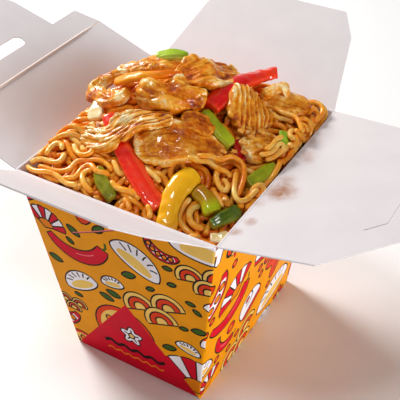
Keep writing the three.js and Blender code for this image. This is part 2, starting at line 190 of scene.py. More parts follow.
class Finish:
    """A Principled material with a few chainable procedural parts."""

    def __init__(self, name, **sockets):
        self.material = bpy.data.materials.new(name)
        self.material.use_nodes = True
        self.tree = self.material.node_tree
        self.shader = self.tree.nodes["Principled BSDF"]
        for socket, value in sockets.items():
            self.shader.inputs[socket.replace("_", " ")].default_value = value
        self.place = self.node("ShaderNodeTexCoord").outputs["Object"]

    def node(self, kind, inputs=(), **settings):
        """A new node with its settings; inputs are (socket, number, colour or link) pairs."""
        made = self.tree.nodes.new(kind)
        for key, value in settings.items():
            setattr(made, key, value)
        for socket, value in inputs:
            if isinstance(value, (int, float, tuple)):
                made.inputs[socket].default_value = value
            else:
                self.link(value, made.inputs[socket])
        return made

    def link(self, source, target):
        self.tree.links.new(source, target)

    def noise(self, size_mm, detail=3.0, roughness=0.55, stretch=None, distortion=0.0):
        """Noise of about one size, fixed to the object or, where stretched, along its grain."""
        place = self.place
        if stretch is not None:
            grain = self.node("ShaderNodeAttribute", attribute_name="grain").outputs["Vector"]
            place = self.node("ShaderNodeMapping", [("Scale", stretch), ("Vector", grain)]).outputs["Vector"]
        return self.node("ShaderNodeTexNoise", [
            ("Scale", 1 / (size_mm * MM)), ("Detail", detail), ("Roughness", roughness),
            ("Distortion", distortion), ("Vector", place)]).outputs["Fac"]

    def attribute(self, name):
        return self.node("ShaderNodeAttribute", attribute_name=name).outputs["Fac"]

    def ramp(self, value, stops):
        made = self.node("ShaderNodeValToRGB", [("Fac", value)])
        ramp = made.color_ramp
        while len(ramp.elements) < len(stops):
            ramp.elements.new(0.5)
        for element, (position, colour) in zip(ramp.elements, stops):
            element.position = position
            element.color = colour
        return made.outputs["Color"]

    def mask(self, value, start, end):
        """0 below the start, rising to 1 at the end."""
        return self.ramp(value, [(start, grey(0.0)), (end, grey(1.0))])

    def math(self, operation, *values):
        return self.node("ShaderNodeMath", enumerate(values), operation=operation).outputs["Value"]

    def varied(self, value, noise, amount):
        """A value with noise about zero added."""
        return self.math("ADD", value, self.math("MULTIPLY_ADD", noise, amount, -amount / 2))

    def mix(self, factor, a, b):
        inputs = ((0, factor), (6, a), (7, b))
        return self.node("ShaderNodeMix", inputs, data_type="RGBA", blend_type="MIX").outputs[2]

    def spot(self, centre, radius):
        """1 at a place (mm) falling to 0 at a radius from it."""
        away = self.node("ShaderNodeVectorMath", [(0, self.place), (1, tuple(c * MM for c in centre))],
                         operation="DISTANCE")
        return self.node("ShaderNodeMapRange", [
            ("From Min", radius * MM), ("From Max", 0.0), ("Value", away.outputs["Value"])],
            interpolation_type="SMOOTHSTEP").outputs["Result"]

    def colour(self, value):
        self.link(value, self.shader.inputs["Base Color"])

    def rough(self, value, low, high):
        spread = self.node("ShaderNodeMapRange", [("To Min", low), ("To Max", high), ("Value", value)])
        self.link(spread.outputs["Result"], self.shader.inputs["Roughness"])

    def wet(self, least, most, size_mm=6, extra=0.0):
        """Patches of glaze: the coat's weight goes from least to most, and to 1 where extra is 1."""
        patches = self.ramp(self.noise(size_mm), [(0.4, grey(least)), (0.62, grey(most))])
        self.link(self.math("MAXIMUM", patches, extra), self.shader.inputs["Coat Weight"])

    def bump(self, *layers):
        """layers: (height value, millimetres deep), the finest last."""
        normal = None
        for value, depth in layers:
            inputs = [("Strength", 1.0), ("Distance", depth * MM), ("Height", value)]
            if normal is not None:
                inputs.append(("Normal", normal))
            normal = self.node("ShaderNodeBump", inputs).outputs["Normal"]
        self.link(normal, self.shader.inputs["Normal"])


def printed(name, colour):
    """Ink on coated board: a faint unevenness of tone, a satin sheen and the board's fibres."""
    finish = Finish(name, Roughness=0.5, Specular_IOR_Level=0.06)
    finish.colour(finish.ramp(finish.noise(11, detail=2), [(0.3, dimmed(colour, 0.88)), (0.7, colour)]))
    finish.rough(finish.noise(2.2), 0.42, 0.56)
    finish.bump((finish.noise(22, detail=1), 0.35), (finish.noise(0.5, detail=2), 0.012))
    return finish.material


# Brown blots on the right flap beside the food, partly sauce soaked into the board and partly painted shadow
# of the noodles: place, radius and strength.
BLOTS_AND_SHADOWS = (
    ((52, -12, 101), 8, 1.0), ((49.4, -14, 100.5), 7, 0.8), ((49.5, -5, 100.5), 6, 0.7),
    ((49.5, 15, 100.4), 6, 0.5), ((51, 11, 100.6), 4, 0.4), ((49.3, -33.4, 100.4), 3.6, 1.0),
    ((47.5, -41, 100.2), 3.6, 0.8), ((47, 26, 100.2), 5, 0.45), ((46.5, -22, 100), 4, 0.4),
)
# Painted shade, with painted warm light reflected from the food, on the left flap and its handle: the same,
# wide and soft.
PAINTED_SHADE_AND_BOUNCE = (((-48, 0, 101), 54, 0.8), ((-58, 22, 104), 30, 0.35), ((-78, -34, 113), 44, 0.3))
# Brown of the blots: partly sauce, partly painted shadow.
BLOT_AND_SHADOW_COLOUR = srgb(168, 112, 74)
# Greyed warm brown of the painted shade and reflected food light.
PAINTED_SHADE_AND_BOUNCE_COLOUR = srgb(176, 136, 116)


def stained_and_shaded(finish, shown):
    """The board's colour under ragged blots, partly soaked in and partly painted shadow, and soft patches of
    painted shade.
    """
    ragged = finish.math("MULTIPLY_ADD", finish.noise(4.5, detail=4, distortion=0.4), 2.4, -0.5)
    for stains_and_shade, colour in ((BLOTS_AND_SHADOWS, BLOT_AND_SHADOW_COLOUR), (PAINTED_SHADE_AND_BOUNCE, PAINTED_SHADE_AND_BOUNCE_COLOUR)):
        for centre, radius, strength in stains_and_shade:
            share = finish.math("MULTIPLY", finish.spot(centre, radius), strength)
            if stains_and_shade is BLOTS_AND_SHADOWS:
                share = finish.math("MULTIPLY", share, ragged)
            shown = finish.mix(finish.math("MINIMUM", share, 1.0), shown, colour)
    return shown


def plain_board(name, colour, used=False):
    """Uncoated white board: fine fibres and a slight waviness and, where it is used, soaked-in blots with
    painted shadow and soft painted shade.
    """
    finish = Finish(name, Roughness=0.62, Specular_IOR_Level=0.2)
    shown = finish.ramp(finish.noise(14), [(0.32, dimmed(colour, 0.955)), (0.68, colour)])
    finish.colour(stained_and_shaded(finish, shown) if used else shown)
    finish.rough(finish.noise(3), 0.55, 0.7)
    finish.bump((finish.noise(28, detail=1), 0.3), (finish.noise(0.7), 0.02))
    return finish.material


INKS = {
    "gold": srgb(248, 160, 0), "line": srgb(36, 8, 14), "crimson": srgb(222, 0, 40),
    "white": srgb(252, 246, 252), "orange": srgb(230, 62, 14), "cream": srgb(250, 206, 104),
    "yolk": srgb(240, 134, 0), "pink": srgb(244, 120, 130), "leaf": srgb(60, 96, 24),
}
ink_finish = {key: printed("ink_" + key, colour) for key, colour in INKS.items()}
board_white = plain_board("board_white", srgb(230, 223, 225))
# The flaps' board carries the blots, painted shadow and painted shade near the food.
flap_white = plain_board("flap_white", srgb(230, 223, 225), used=True)
paper_edge = plain_board("paper_edge", srgb(244, 226, 200))
# Lighter, creamier board for the handle's bead: painted highlight along it.
bead_painted_highlight = plain_board("bead_painted_highlight", srgb(242, 226, 216))


# ---------------------------------------------------------------- drawing of the print
def signed_area(points):
    x, y = np.asarray(points).T
    return 0.5 * np.sum(x * np.roll(y, -1) - y * np.roll(x, -1))


def widened(points, by):
    """A closed outline moved outward."""
    points = np.asarray(points, float)
    if signed_area(points) < 0:
        points = points[::-1]
    tangent = np.roll(points, -1, 0) - np.roll(points, 1, 0)
    tangent /= np.linalg.norm(tangent, axis=1, keepdims=True) + 1e-9
    return points + by * np.stack([tangent[:, 1], -tangent[:, 0]], 1)


def polar(start, end, count, endpoint=True):
    """Cosines and sines of evenly spread angles, in degrees."""
    angle = np.radians(np.linspace(start, end, count, endpoint=endpoint))
    return np.cos(angle), np.sin(angle)


def oval(x, y, rx, ry=None, count=20, turn=0.0):
    across, up = polar(0, 360, count, endpoint=False)
    px, py = rx * across, (rx if ry is None else ry) * up
    c, s = math.cos(turn), math.sin(turn)
    return np.stack([x + c * px - s * py, y + s * px + c * py], 1)


def arc(x, y, radius, start, end, count=12, flat=1.0):
    across, up = polar(start, end, count)
    return np.stack([x + radius * across, y + flat * radius * up], 1)


def stroke(points, width):
    """A line of the given width, or of one width at each point, as a closed outline."""
    points = np.asarray(points, float)
    half = np.broadcast_to(np.asarray(width, float) / 2, len(points))[:, None]
    tangent = np.gradient(points, axis=0)
    tangent /= np.linalg.norm(tangent, axis=1, keepdims=True) + 1e-9
    side = np.stack([-tangent[:, 1], tangent[:, 0]], 1)
    return np.concatenate([points + half * side, (points - half * side)[::-1]])


class Motif:
    """Coloured shapes in a unit circle, painted in the order they are added."""

    def __init__(self, line):
        self.width = line
        self.shapes = []

    def fill(self, ink, *outlines):
        self.shapes.append((ink, np.concatenate([np.asarray(part, float) for part in outlines])))

    def outlined(self, ink, *outlines):
        points = np.concatenate([np.asarray(part, float) for part in outlines])
        self.fill("line", widened(points, self.width))
        self.fill(ink, points)

    def line(self, points, ink="line", weight=1.0):
        self.fill(ink, stroke(points, self.width * weight))

    def placed(self, x, y, size, turn):
        c, s = math.cos(turn) * size, math.sin(turn) * size
        matrix = np.array([[c, s], [-s, c]])
        return [(ink, points @ matrix + (x, y)) for ink, points in self.shapes]


def dumpling(motif):
    """A pleated half-moon dumpling."""
    top = arc(0, -0.2, 0.95, 8, 172, 22, 0.8)
    under = arc(0, -0.08, 0.95, 188, 352, 16, 0.36)
    motif.outlined("white", top, under)
    motif.fill("cream", arc(0, -0.2, 0.72, 20, 160, 14, 0.42), under[3:-3] * (0.9, 0.8))
    for angle in range(35, 150, 22):
        rise = math.radians(angle)
        end = np.array([0.9 * math.cos(rise), -0.2 + 0.72 * math.sin(rise)])
        motif.line([end * (0.62, 0.5) + (0.04, 0.0), end * 0.82, end])


def chilli(motif):
    """A curved pepper pod with its stem and a highlight."""
    across, up = polar(200, 330, 18)
    spine = np.stack([0.95 * across, 0.55 + 0.9 * up], 1)
    width = 0.42 * np.sin(np.linspace(0.12, 1, 18) * math.pi / 1.35) ** 0.7
    motif.outlined("crimson", stroke(spine, width))
    motif.line(spine[8:14] + (-0.02, 0.07), "pink", 0.8)
    motif.line([spine[-1], spine[-1] + (0.12, 0.08), spine[-1] + (0.16, 0.26)], "leaf", 1.6)


def lotus_slice(motif):
    """A round slice of lotus root with its ring of holes."""
    motif.outlined("orange", oval(0, 0, 0.95, count=28))
    motif.fill("cream", oval(0, 0, 0.8, count=26))
    for k in range(7):
        angle = TURN * k / 7
        motif.outlined("yolk", oval(0.5 * math.cos(angle), 0.5 * math.sin(angle), 0.16, 0.11, 12, angle))
    motif.outlined("yolk", oval(0, 0, 0.1, count=10))


def mushroom(motif):
    """A slice through a mushroom's cap and stem."""
    cap = arc(0, 0, 0.9, -10, 190, 22, 0.85)
    stem = np.array([(-0.42, -0.12), (-0.26, -0.02), (-0.26, -0.02), (-0.2, -0.75), (0.0, -0.86),
                     (0.2, -0.75), (0.26, -0.02), (0.42, -0.12)])
    motif.outlined("white", cap, stem)
    motif.fill("orange", arc(0, 0.05, 0.9, 12, 168, 18, 0.8), arc(0, 0.18, 0.72, 168, 12, 14, 0.55))
    motif.line(arc(0, 0.12, 0.62, 10, 170, 12, 0.7))


def carrot_flower(motif, petals="orange"):
    """A carrot slice cut as a five-petalled flower."""
    angle = np.linspace(0, TURN, 50, endpoint=False)
    radius = 0.72 + 0.2 * np.cos(5 * angle)
    motif.outlined(petals, np.stack([radius * np.cos(angle), radius * np.sin(angle)], 1))
    for k in range(5):
        away = np.array([math.cos(TURN * k / 5), math.sin(TURN * k / 5)])
        motif.line([0.28 * away, 0.66 * away])
    motif.outlined("cream", oval(0, 0, 0.2, count=14))


def pea_pod(motif):
    """An open pod with a row of peas."""
    across, up = polar(205, 335, 20)
    spine = np.stack([across, 0.72 + 0.95 * up], 1)
    width = 0.56 * np.sin(np.linspace(0.04, 0.96, 20) * math.pi) ** 0.6
    motif.outlined("crimson", stroke(spine, width))
    motif.fill("white", stroke(spine[2:-2], width[2:-2] * 0.66))
    for k in (3, 6, 9, 12, 15):
        motif.outlined("yolk", oval(*spine[k], 0.11, count=12))


def bun(motif):
    """A steamed bun with a swirl on its top, on its paper."""
    motif.outlined("crimson", [(-0.94, -0.3), (0.94, -0.3), (0.7, -0.68), (-0.7, -0.68)])
    motif.outlined("white", arc(0, -0.15, 0.85, 0, 180, 24, 0.95), [(-0.8, -0.36), (0.8, -0.36)])
    for tilt in (350, 310, 270, 230):
        motif.line(arc(0, 0.42, 0.42, tilt, tilt + 50, 7, 0.8))
    motif.outlined("orange", oval(0, 0.42, 0.12, 0.09, 12))


def lantern(motif):
    """A ribbed paper lantern with caps and a tassel."""
    motif.line([(0, -0.5), (0, -0.95)], "crimson", 2.2)
    motif.outlined("orange", oval(0, 0.1, 0.74, 0.52, 26))
    motif.fill("crimson", oval(0, 0.1, 0.4, 0.5, 22))
    bow = np.sqrt(np.linspace(0, 1, 9) * np.linspace(1, 0, 9) * 4) * 1.4
    for rib in (-0.52, -0.26, 0.0, 0.26, 0.52):
        motif.line(np.stack([rib * bow, np.linspace(-0.4, 0.6, 9)], 1))
    for y in (-0.44, 0.64):
        motif.outlined("cream", [(-0.3, y - 0.08), (0.3, y - 0.08), (0.3, y + 0.08), (-0.3, y + 0.08)])


def fan(motif):
    """A folding fan with alternate ribs."""
    for k in range(7):
        start, end = 18 + 20.6 * k, 18 + 20.6 * (k + 1)
        motif.outlined(("crimson", "white")[k % 2], arc(0, -0.5, 1.3, start, end, 5),
                       arc(0, -0.5, 0.5, end, start, 4))
    motif.outlined("yolk", arc(0, -0.5, 0.46, 18, 162, 12), [(0, -0.62)])


def scales(motif):
    """Three overlapping wave scales, each of nested arcs."""
    for x, y in ((-0.48, 0.2), (0.48, 0.2), (0, -0.28)):
        for radius, ink in ((0.5, "cream"), (0.34, "orange"), (0.16, "cream")):
            foot = [(x - radius, y - 0.06), (x + radius, y - 0.06)]
            motif.outlined(ink, arc(x, y, radius, 0, 180, 14), foot)


def leaf(motif):
    """A pointed leaf."""
    t = np.linspace(0, 1, 14)
    edge = np.stack([2 * t - 1, 0.42 * np.sin(math.pi * t) ** 0.8], 1)
    motif.outlined("leaf", edge, (edge * (1, -1))[::-1][1:-1])


def ring(motif):
    motif.outlined("crimson", oval(0, 0, 0.8, count=16))
    motif.fill("yolk", oval(0, 0, 0.4, count=12))


def dot(motif):
    motif.outlined("crimson", oval(0, 0, 0.75, count=12))
    motif.fill("pink", oval(-0.2, 0.25, 0.22, 0.14, 8, 0.6))


LINE_WIDTH = 0.75
PRINT_CELL = 1.0
LARGE_MOTIFS = (dumpling, lantern, lotus_slice, fan, pea_pod, bun, carrot_flower, scales, mushroom, chilli)
SMALL_MOTIFS = (ring, leaf, dot)
LARGE_FROM = 5                # the smallest size of a large motif
MOTIF_RUNS = (                # number, size and tries for each
    (8, 16, 30), (8, 13, 30), (12, 10.5, 30), (14, 8, 30), (16, 6, 26), (18, 3.4, 16), (24, 1.9, 10),
)
MOTIF_TILT = 0.7
SHEET_MARGIN = 8              # how far beyond a panel a motif's centre may lie


def filled_points(shapes, spacing):
    """Grid cells inside a motif's outlines, each tested by the crossing rule."""
    every = np.concatenate([points for _, points in shapes])
    low, high = np.floor(every.min(0) / spacing), np.ceil(every.max(0) / spacing)
    columns = [np.arange(low[axis], high[axis] + 1) for axis in (0, 1)]
    cells = np.stack(np.meshgrid(*columns), -1).reshape(-1, 2)
    at = cells * spacing
    inside = np.zeros(len(at), bool)
    for _, points in shapes:
        x0, y0 = points.T
        x1, y1 = np.roll(points, -1, 0).T
        slope = (x1 - x0) / np.where(y0 == y1, 1, y1 - y0)
        x, y = at[:, :1], at[:, 1:]
        crossed = ((y < y0) != (y < y1)) & (x < x0 + (y - y0) * slope)
        inside |= crossed.sum(1) % 2 == 1
    return cells[inside].astype(int)


def scattered_print(outline, seed):
    """Motifs of falling size thrown onto a panel, each clear of the ones before."""
    draw = np.random.default_rng(seed)
    low, high = np.min(outline, 0) - SHEET_MARGIN, np.max(outline, 0) + SHEET_MARGIN
    first_cell = np.floor(low / PRINT_CELL).astype(int)
    taken = np.zeros(np.ceil((high - low) / PRINT_CELL).astype(int) + 2, bool)
    shapes = []
    sizes = [(size, tries) for number, size, tries in MOTIF_RUNS for _ in range(number)]
    for k, (size, tries) in enumerate(sizes):
        kinds = LARGE_MOTIFS if size > LARGE_FROM else SMALL_MOTIFS
        motif = Motif(LINE_WIDTH / size)
        kinds[(3 * k + seed) % len(kinds)](motif)
        for _ in range(tries):
            place = draw.uniform(low, high)
            candidate = motif.placed(*place, size, draw.uniform(-MOTIF_TILT, MOTIF_TILT))
            cells = filled_points(candidate, PRINT_CELL) - first_cell
            cells = cells[(cells >= 1).all(1) & (cells < np.array(taken.shape) - 1).all(1)]
            if len(cells) and not taken[cells[:, 0], cells[:, 1]].any():
                for dx, dy in ((0, 0), (1, 0), (-1, 0), (0, 1), (0, -1)):
                    taken[cells[:, 0] + dx, cells[:, 1] + dy] = True
                shapes += candidate
                break
    return shapes


# ---------------------------------------------------------------- board panels
def divided(points, longest=3.0):
    """An outline with its long edges split, so that it follows a curved panel."""
    points = np.asarray(points, float)
    result = []
    for a, b in zip(points, np.roll(points, -1, 0)):
        count = max(1, math.ceil(np.linalg.norm(b - a) / longest))
        result += [a + (b - a) * k / count for k in range(count)]
    return np.array(result)


def triangulated(polygons, folds, spacing):
    """Points and triangles over the first polygon, and which polygons each triangle lies in."""
    coords, faces, edges = [], [], []
    for points in polygons:
        points = points if signed_area(points) > 0 else points[::-1]
        faces.append(list(range(len(coords), len(coords) + len(points))))
        coords += [Vector(p) for p in points]
    for line in folds:
        first = len(coords)
        coords += [Vector(p) for p in line]
        edges += [(first + i, first + i + 1) for i in range(len(line) - 1)]
    low, high = np.min(polygons[0], 0), np.max(polygons[0], 0)
    for u in np.arange(low[0] + spacing / 2, high[0], spacing):
        for v in np.arange(low[1] + spacing / 2, high[1], spacing):
            coords.append(Vector((u, v)))
    flat, _, triangles, _, _, owners = delaunay_2d_cdt(coords, edges, faces, 1, 1e-4)
    return np.array([(p.x, p.y) for p in flat]), triangles, owners


def open_edges(triangles):
    """The edges that only one triangle has, in its direction."""
    edges = {}
    for a, b, c in triangles:
        for edge in ((a, b), (b, c), (c, a)):
            if edge[::-1] in edges:
                del edges[edge[::-1]]
            else:
                edges[edge] = True
    return list(edges)


def sheet(name, place, outline, holes=(), shapes=(), folds=(), level=0.0, thick=INK,
          front=ink_finish["gold"], back=board_white, spacing=7.0):
    """A thin closed sheet with a front material and inked shapes on its face.

    place(u, v, offset) gives points in millimetres.
    """
    polygons = [divided(outline), *holes, *[points for _, points in shapes]]
    flat, triangles, owners = triangulated(polygons, folds, spacing)
    hole_numbers = set(range(1, 1 + len(holes)))
    kept, finishes = [], []
    for triangle, owner in zip(triangles, owners):
        if 0 not in owner or hole_numbers & set(owner):
            continue
        top = max(owner)
        kept.append(list(triangle))
        finishes.append(ink_finish[shapes[top - 1 - len(holes)][0]] if top > len(holes) else front)
    used, kept = np.unique(np.array(kept), return_inverse=True)
    kept = kept.reshape(-1, 3)
    flat, count = flat[used], len(used)
    upper = place(flat[:, 0], flat[:, 1], np.full(count, level))
    lower = place(flat[:, 0], flat[:, 1], np.full(count, level - thick))
    sides = [[b, a, a + count, b + count] for a, b in open_edges(kept)]
    faces = kept.tolist() + (kept[:, ::-1] + count).tolist() + sides
    finishes += [back] * (len(kept) + len(sides))
    slots = list(dict.fromkeys(finishes))
    return mesh_piece(name, np.concatenate([upper, lower]), faces, slots, smooth=False,
                      face_material=[slots.index(finish) for finish in finishes])


def wall_place(side):
    """The map from a wall's own plane (u along it, v up its slope) to space."""
    turn = math.radians({"front": 0, "right": 90, "back": 180, "left": 270}[side])
    across = 0 if side in ("front", "back") else 1
    out = 1 - across
    slope = math.hypot(HEIGHT, (RIM[out] - BASE[out]) / 2)
    c, s = math.cos(turn), math.sin(turn)

    def place(u, v, offset):
        t = v / slope
        half = (BASE[across] + (RIM[across] - BASE[across]) * t) / 2
        reach = (BASE[out] + (RIM[out] - BASE[out]) * t) / 2
        flat = half - FOLD_RADIUS
        over = np.clip(np.abs(u) - flat, 0, None) / FOLD_RADIUS
        swell = BULGE * np.clip(1 - (u / flat) ** 2, 0, 1) * np.sin(math.pi * np.clip(t, 0, 1))
        radius = FOLD_RADIUS + offset
        x = np.sign(u) * (np.minimum(np.abs(u), flat) + radius * np.sin(over))
        y = -(reach - FOLD_RADIUS + radius * np.cos(over) + swell)
        return np.stack([c * x - s * y, s * x + c * y, t * HEIGHT + 0 * u], -1)

    def half_width(v):
        return (BASE[across] + (RIM[across] - BASE[across]) * v / slope) / 2 - FOLD_RADIUS * (1 - math.pi / 4)

    return place, half_width, slope


def wall_outline(half_width, top, steps=12):
    v = np.linspace(0, top, steps)
    right = np.stack([half_width(v), v], 1)
    left = np.stack([-half_width(v), v], 1)[::-1]
    return np.concatenate([right, left])


def corner_folds(half_width, slope):
    """Lines that keep the rounded corners smooth, at three steps of their arc."""
    v = np.linspace(0, slope, 24)
    arc_length = FOLD_RADIUS * math.pi / 4
    return [np.stack([sign * (half_width(v) - arc_length * share), v], 1)
            for sign in (1, -1) for share in (1.0, 0.66, 0.33)]


GLUED_LAP = ((-21.6, 77.4), (-10, 83.2), (0.5, 88.9))    # the web's free edge on an end panel
PANEL_DEPTH = GUSSET - 0.05   # of the bare triangle behind the webs
PANEL_OVERLAP = 0.8


def carton_print():
    """The printed faces: a skin on each side wall, folded webs and a bare triangle on each end."""
    pieces = []
    for seed, side in ((21, "right"), (22, "left"), (34, "front"), (35, "back")):
        place, half_width, slope = wall_place(side)
        outline = wall_outline(half_width, slope)
        shapes = scattered_print(outline, seed)
        folds = corner_folds(half_width, slope)
        if side in ("right", "left"):
            pieces.append(sheet("print_" + side, place, outline, shapes=shapes, folds=folds))
            continue
        web = np.concatenate([outline, [(0, GUSSET_PEAK)]])
        lap = np.array(GLUED_LAP)
        # The web's free edge as two drawn lines: the pink one a painted highlight on the edge, the dark one
        # under it a painted shadow.
        shapes += [("line", stroke(lap - (0, 0.4), 0.3)), ("pink", stroke(lap, 0.5))]
        pieces.append(sheet("webs_" + side, place, web, shapes=shapes, folds=folds,
                            thick=GUSSET + 0.1, back=paper_edge))
        foot = half_width(0) + PANEL_OVERLAP / 2
        bare = np.array([(-foot, 0.0), (foot, 0.0), (0, GUSSET_PEAK + PANEL_OVERLAP)])
        pieces.append(sheet("panel_" + side, place, bare, shapes=panel_emblem(), level=-PANEL_DEPTH,
                            front=ink_finish["crimson"]))
    return pieces


def panel_emblem():
    """A plain rosette over two wavy lines, on the bare triangle."""
    u = np.linspace(-1, 1, 70)
    flower = Motif(LINE_WIDTH / 6)
    carrot_flower(flower, "white")
    shapes = flower.placed(0, 24, 6.0, 0.3)
    shapes.append(("line", stroke(np.stack([16 * u, 13.4 + 0.9 * np.sin(14 * u)], 1), 2.0)))
    shapes.append(("yolk", stroke(np.stack([15 * u, 8.2 + 0.6 * np.sin(20 * u)], 1), 0.9)))
    return shapes


def tub_loop(inset, share, radius, steps=10):
    """The carton's outline at a share of its height, set in and with rounded, bowed walls."""
    half = (BASE + (RIM - BASE) * share) / 2 - inset
    swell = BULGE * math.sin(math.pi * share)
    points = []
    for quarter, (sx, sy) in enumerate(((1, -1), (1, 1), (-1, 1), (-1, -1))):
        centre = np.array([sx * (half[0] - radius), sy * (half[1] - radius)])
        start = (quarter - 1) * math.pi / 2
        for a in np.radians(np.linspace(0, 90, 6)):
            points.append(centre + radius * np.array([math.cos(start + a), math.sin(start + a)]))
        axis = 1 - quarter % 2
        flat = half[axis] - radius
        along = (1, -1, -1, 1)[quarter] * flat
        for k in range(1, steps):
            w = along * (2 * k / steps - 1)
            out = swell * (1 - (w / flat) ** 2)
            points.append((sx * (half[0] + out), w) if axis == 1 else (w, sy * (half[1] + out)))
    return [(x, y, share * HEIGHT) for x, y in points]


def carton_shell():
    """The board itself: walls, base and rim as one closed tub."""
    levels = np.linspace(0, 1, 15)
    loops = [tub_loop((SUNK, GUSSET + SUNK), t, FOLD_RADIUS) for t in levels]
    loops += [tub_loop((BOARD, BOARD + GUSSET), max(t, BOARD / HEIGHT), INNER_RADIUS)
              for t in levels[::-1]]
    vertices = np.array(sum(loops, []) + [(0, 0, 0), (0, 0, BOARD)])
    faces = sleeve_faces(len(loops), len(loops[0]))
    shell = mesh_piece("carton_board", vertices, faces, [board_white], smooth=False)
    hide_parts("carton")
    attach(shell, "box")


# ---------------------------------------------------------------- flaps
def mirrored(*half_outline):
    """An outline from its right half, given from the crease outward."""
    right = np.array(half_outline, float)
    return np.concatenate([right, (right * (-1, 1))[::-1]])


def flap_axes(side):
    """The middle of a flap's crease, and the directions along it, outward and up from the flap."""
    turn = math.radians({"front": 180, "right": -90, "back": 0, "left": 90}[side])
    lean = math.radians(LEAN[side])
    reach = (RIM[1] if side in ("front", "back") else RIM[0]) / 2 + CREASE
    along = np.array([math.cos(turn), math.sin(turn), 0])
    level_out = np.array([-math.sin(turn), math.cos(turn), 0])
    outward = level_out * math.cos(lean) + np.array([0, 0, math.sin(lean)])
    hinge = level_out * reach + np.array([0, 0, HEIGHT])
    return hinge, along, outward, np.cross(along, outward)


def flap_place(side, start, facing):
    """The map from a flap's plane (u along its crease, v outward) to space, for its face up or down."""
    hinge, along, outward, up = flap_axes(side)

    def place(u, v, offset):
        return (hinge + np.multiply.outer(u, along) + np.multiply.outer(v + start, outward)
                + np.multiply.outer(facing * offset, up))

    return place


SLIT = {"half": 23, "end_half": 16, "from": 42.5, "to": 48.8, "width": 0.4}
FINGER_SLOT = {"half": 11, "from": 11.5, "width": 6.3}
HANDLE = {"half": 30.4, "end_half": 28.5, "reach": 41, "corner": 9, "shoulder": (47.3, 12.8)}


def slit_outline():
    """The cut that takes the handle, a hair wide."""
    line = np.array([(-SLIT["half"], SLIT["from"]), (-SLIT["end_half"], SLIT["to"]),
                     (SLIT["end_half"], SLIT["to"]), (SLIT["half"], SLIT["from"])])
    inner = line * (1 - SLIT["width"] / SLIT["half"], 1) - (0, SLIT["width"])
    return np.concatenate([line, inner[::-1]])


def finger_slot():
    radius = FINGER_SLOT["width"] / 2
    reach, height = FINGER_SLOT["half"] - radius, FINGER_SLOT["from"] + radius
    return np.concatenate([arc(reach, height, radius, -90, 90), arc(-reach, height, radius, 90, 270)])


def handle_outline():
    half, corner, shoulder = HANDLE["half"], HANDLE["corner"], HANDLE["shoulder"]
    outline = [(SIDE_HALF, HANDLE_GAP), shoulder, (half, shoulder[1])]
    for k in range(9):
        turn = math.radians(90 * k / 8)
        outline.append((HANDLE["end_half"] - corner * (1 - math.cos(turn)),
                        HANDLE["reach"] - corner * (1 - math.sin(turn))))
    return mirrored(*outline)


END_FLAP = mirrored((END_HALF, FLAP_START), (37.2, 36.9), (29.7, 49.1))
FLAPS = {                     # side, body, start from the rim's crease, outline and holes
    "flap_left": ("left", "left_flap", 0.0,
                  mirrored((SIDE_HALF, FLAP_START), (SIDE_HALF, HANDLE_CREASE - HANDLE_GAP)), ()),
    "flap_handle": ("left", "handle", HANDLE_CREASE, handle_outline(), (finger_slot(),)),
    "flap_right": ("right", "right_flap", 0.0,
                   mirrored((SIDE_HALF, FLAP_START), (46.6, 34.6), (23.5, 56.3), (18, 59.5)),
                   (slit_outline(),)),
    "flap_front": ("front", "front_flap", 0.0, END_FLAP, ()),
    "flap_back": ("back", "back_flap", 0.0, END_FLAP, ()),
}
FIRST_FLAP_PRINT = 60         # seed


def build_flaps():
    """Each flap as a board sheet with its printed skin on the outer face."""
    for number, (node, (side, body, start, outline, holes)) in enumerate(FLAPS.items()):
        half = BOARD / 2
        upper = sheet(node + "_board", flap_place(side, start, 1), outline, holes=holes, level=half,
                      thick=BOARD - FLAP_INK, front=flap_white)
        under = sheet(node + "_print", flap_place(side, start, -1), outline, holes=holes, level=half,
                      thick=FLAP_INK - 0.005, shapes=scattered_print(outline, FIRST_FLAP_PRINT + number))
        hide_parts(node)
        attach(upper, body)
        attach(under, body)


BEAD_FADE = 14                # how far from its ends the handle's bead sinks away


def crease_strip(name, half, axes, section, blend, material=flap_white, fading=False):
    """A bent strip of board along a crease; section is its outline across the crease."""
    origin, along, out, up = axes
    steps = 25 if fading else 3
    vertices = []
    for s in np.linspace(-half, half, steps):
        low = np.clip((half - abs(s)) / BEAD_FADE, 0.25, 1) if fading else 1
        vertices += [origin + along * s + out * a + up * b * low for a, b in section]
    middle = origin + out * section[:, 0].mean() + up * section[:, 1].mean()
    vertices += [middle - along * half, middle + along * half]
    strip = mesh_piece(name, np.array(vertices), sleeve_faces(steps, len(section)), [material],
                       smooth=False)
    start, end = blend
    Vector(start) * MM
    Vector(end) * MM
    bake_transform(strip)


def curve(a, b, c, count):
    """Points of a quadratic curve from a to c that leans towards b."""
    t = np.linspace(0, 1, count)[:, None]
    return (1 - t) ** 2 * np.array(a) + 2 * t * (1 - t) * np.array(b) + t * t * np.array(c)


def rim_crease(side):
    """The scored fold between a wall and its flap."""
    hinge, along, outward, _ = flap_axes(side)
    level_out = np.array([*outward[:2], 0])
    level_out /= np.linalg.norm(level_out)
    lean = math.radians(LEAN[side])
    d, n = np.array([math.cos(lean), math.sin(lean)]), np.array([-math.sin(lean), math.cos(lean)])
    on_side = side in ("left", "right")
    wall = BOARD if on_side else BOARD + GUSSET
    inner, outer = (-CREASE - wall, 0.0), (-CREASE, 0.0)
    top = curve(inner, (-CREASE - wall * 0.8, 0.55), FLAP_START * d + BOARD / 2 * n, 8)
    low = curve(FLAP_START * d - BOARD / 2 * n, (-0.1, -0.05), outer, 4)
    blend = (hinge - level_out * (CREASE + 0.1), hinge + level_out * 0.05)
    crease_strip("crease_" + side, SIDE_HALF if on_side else END_HALF,
                 (hinge, along, level_out, np.array([0, 0, 1.0])), np.concatenate([top, low]),
                 blend)


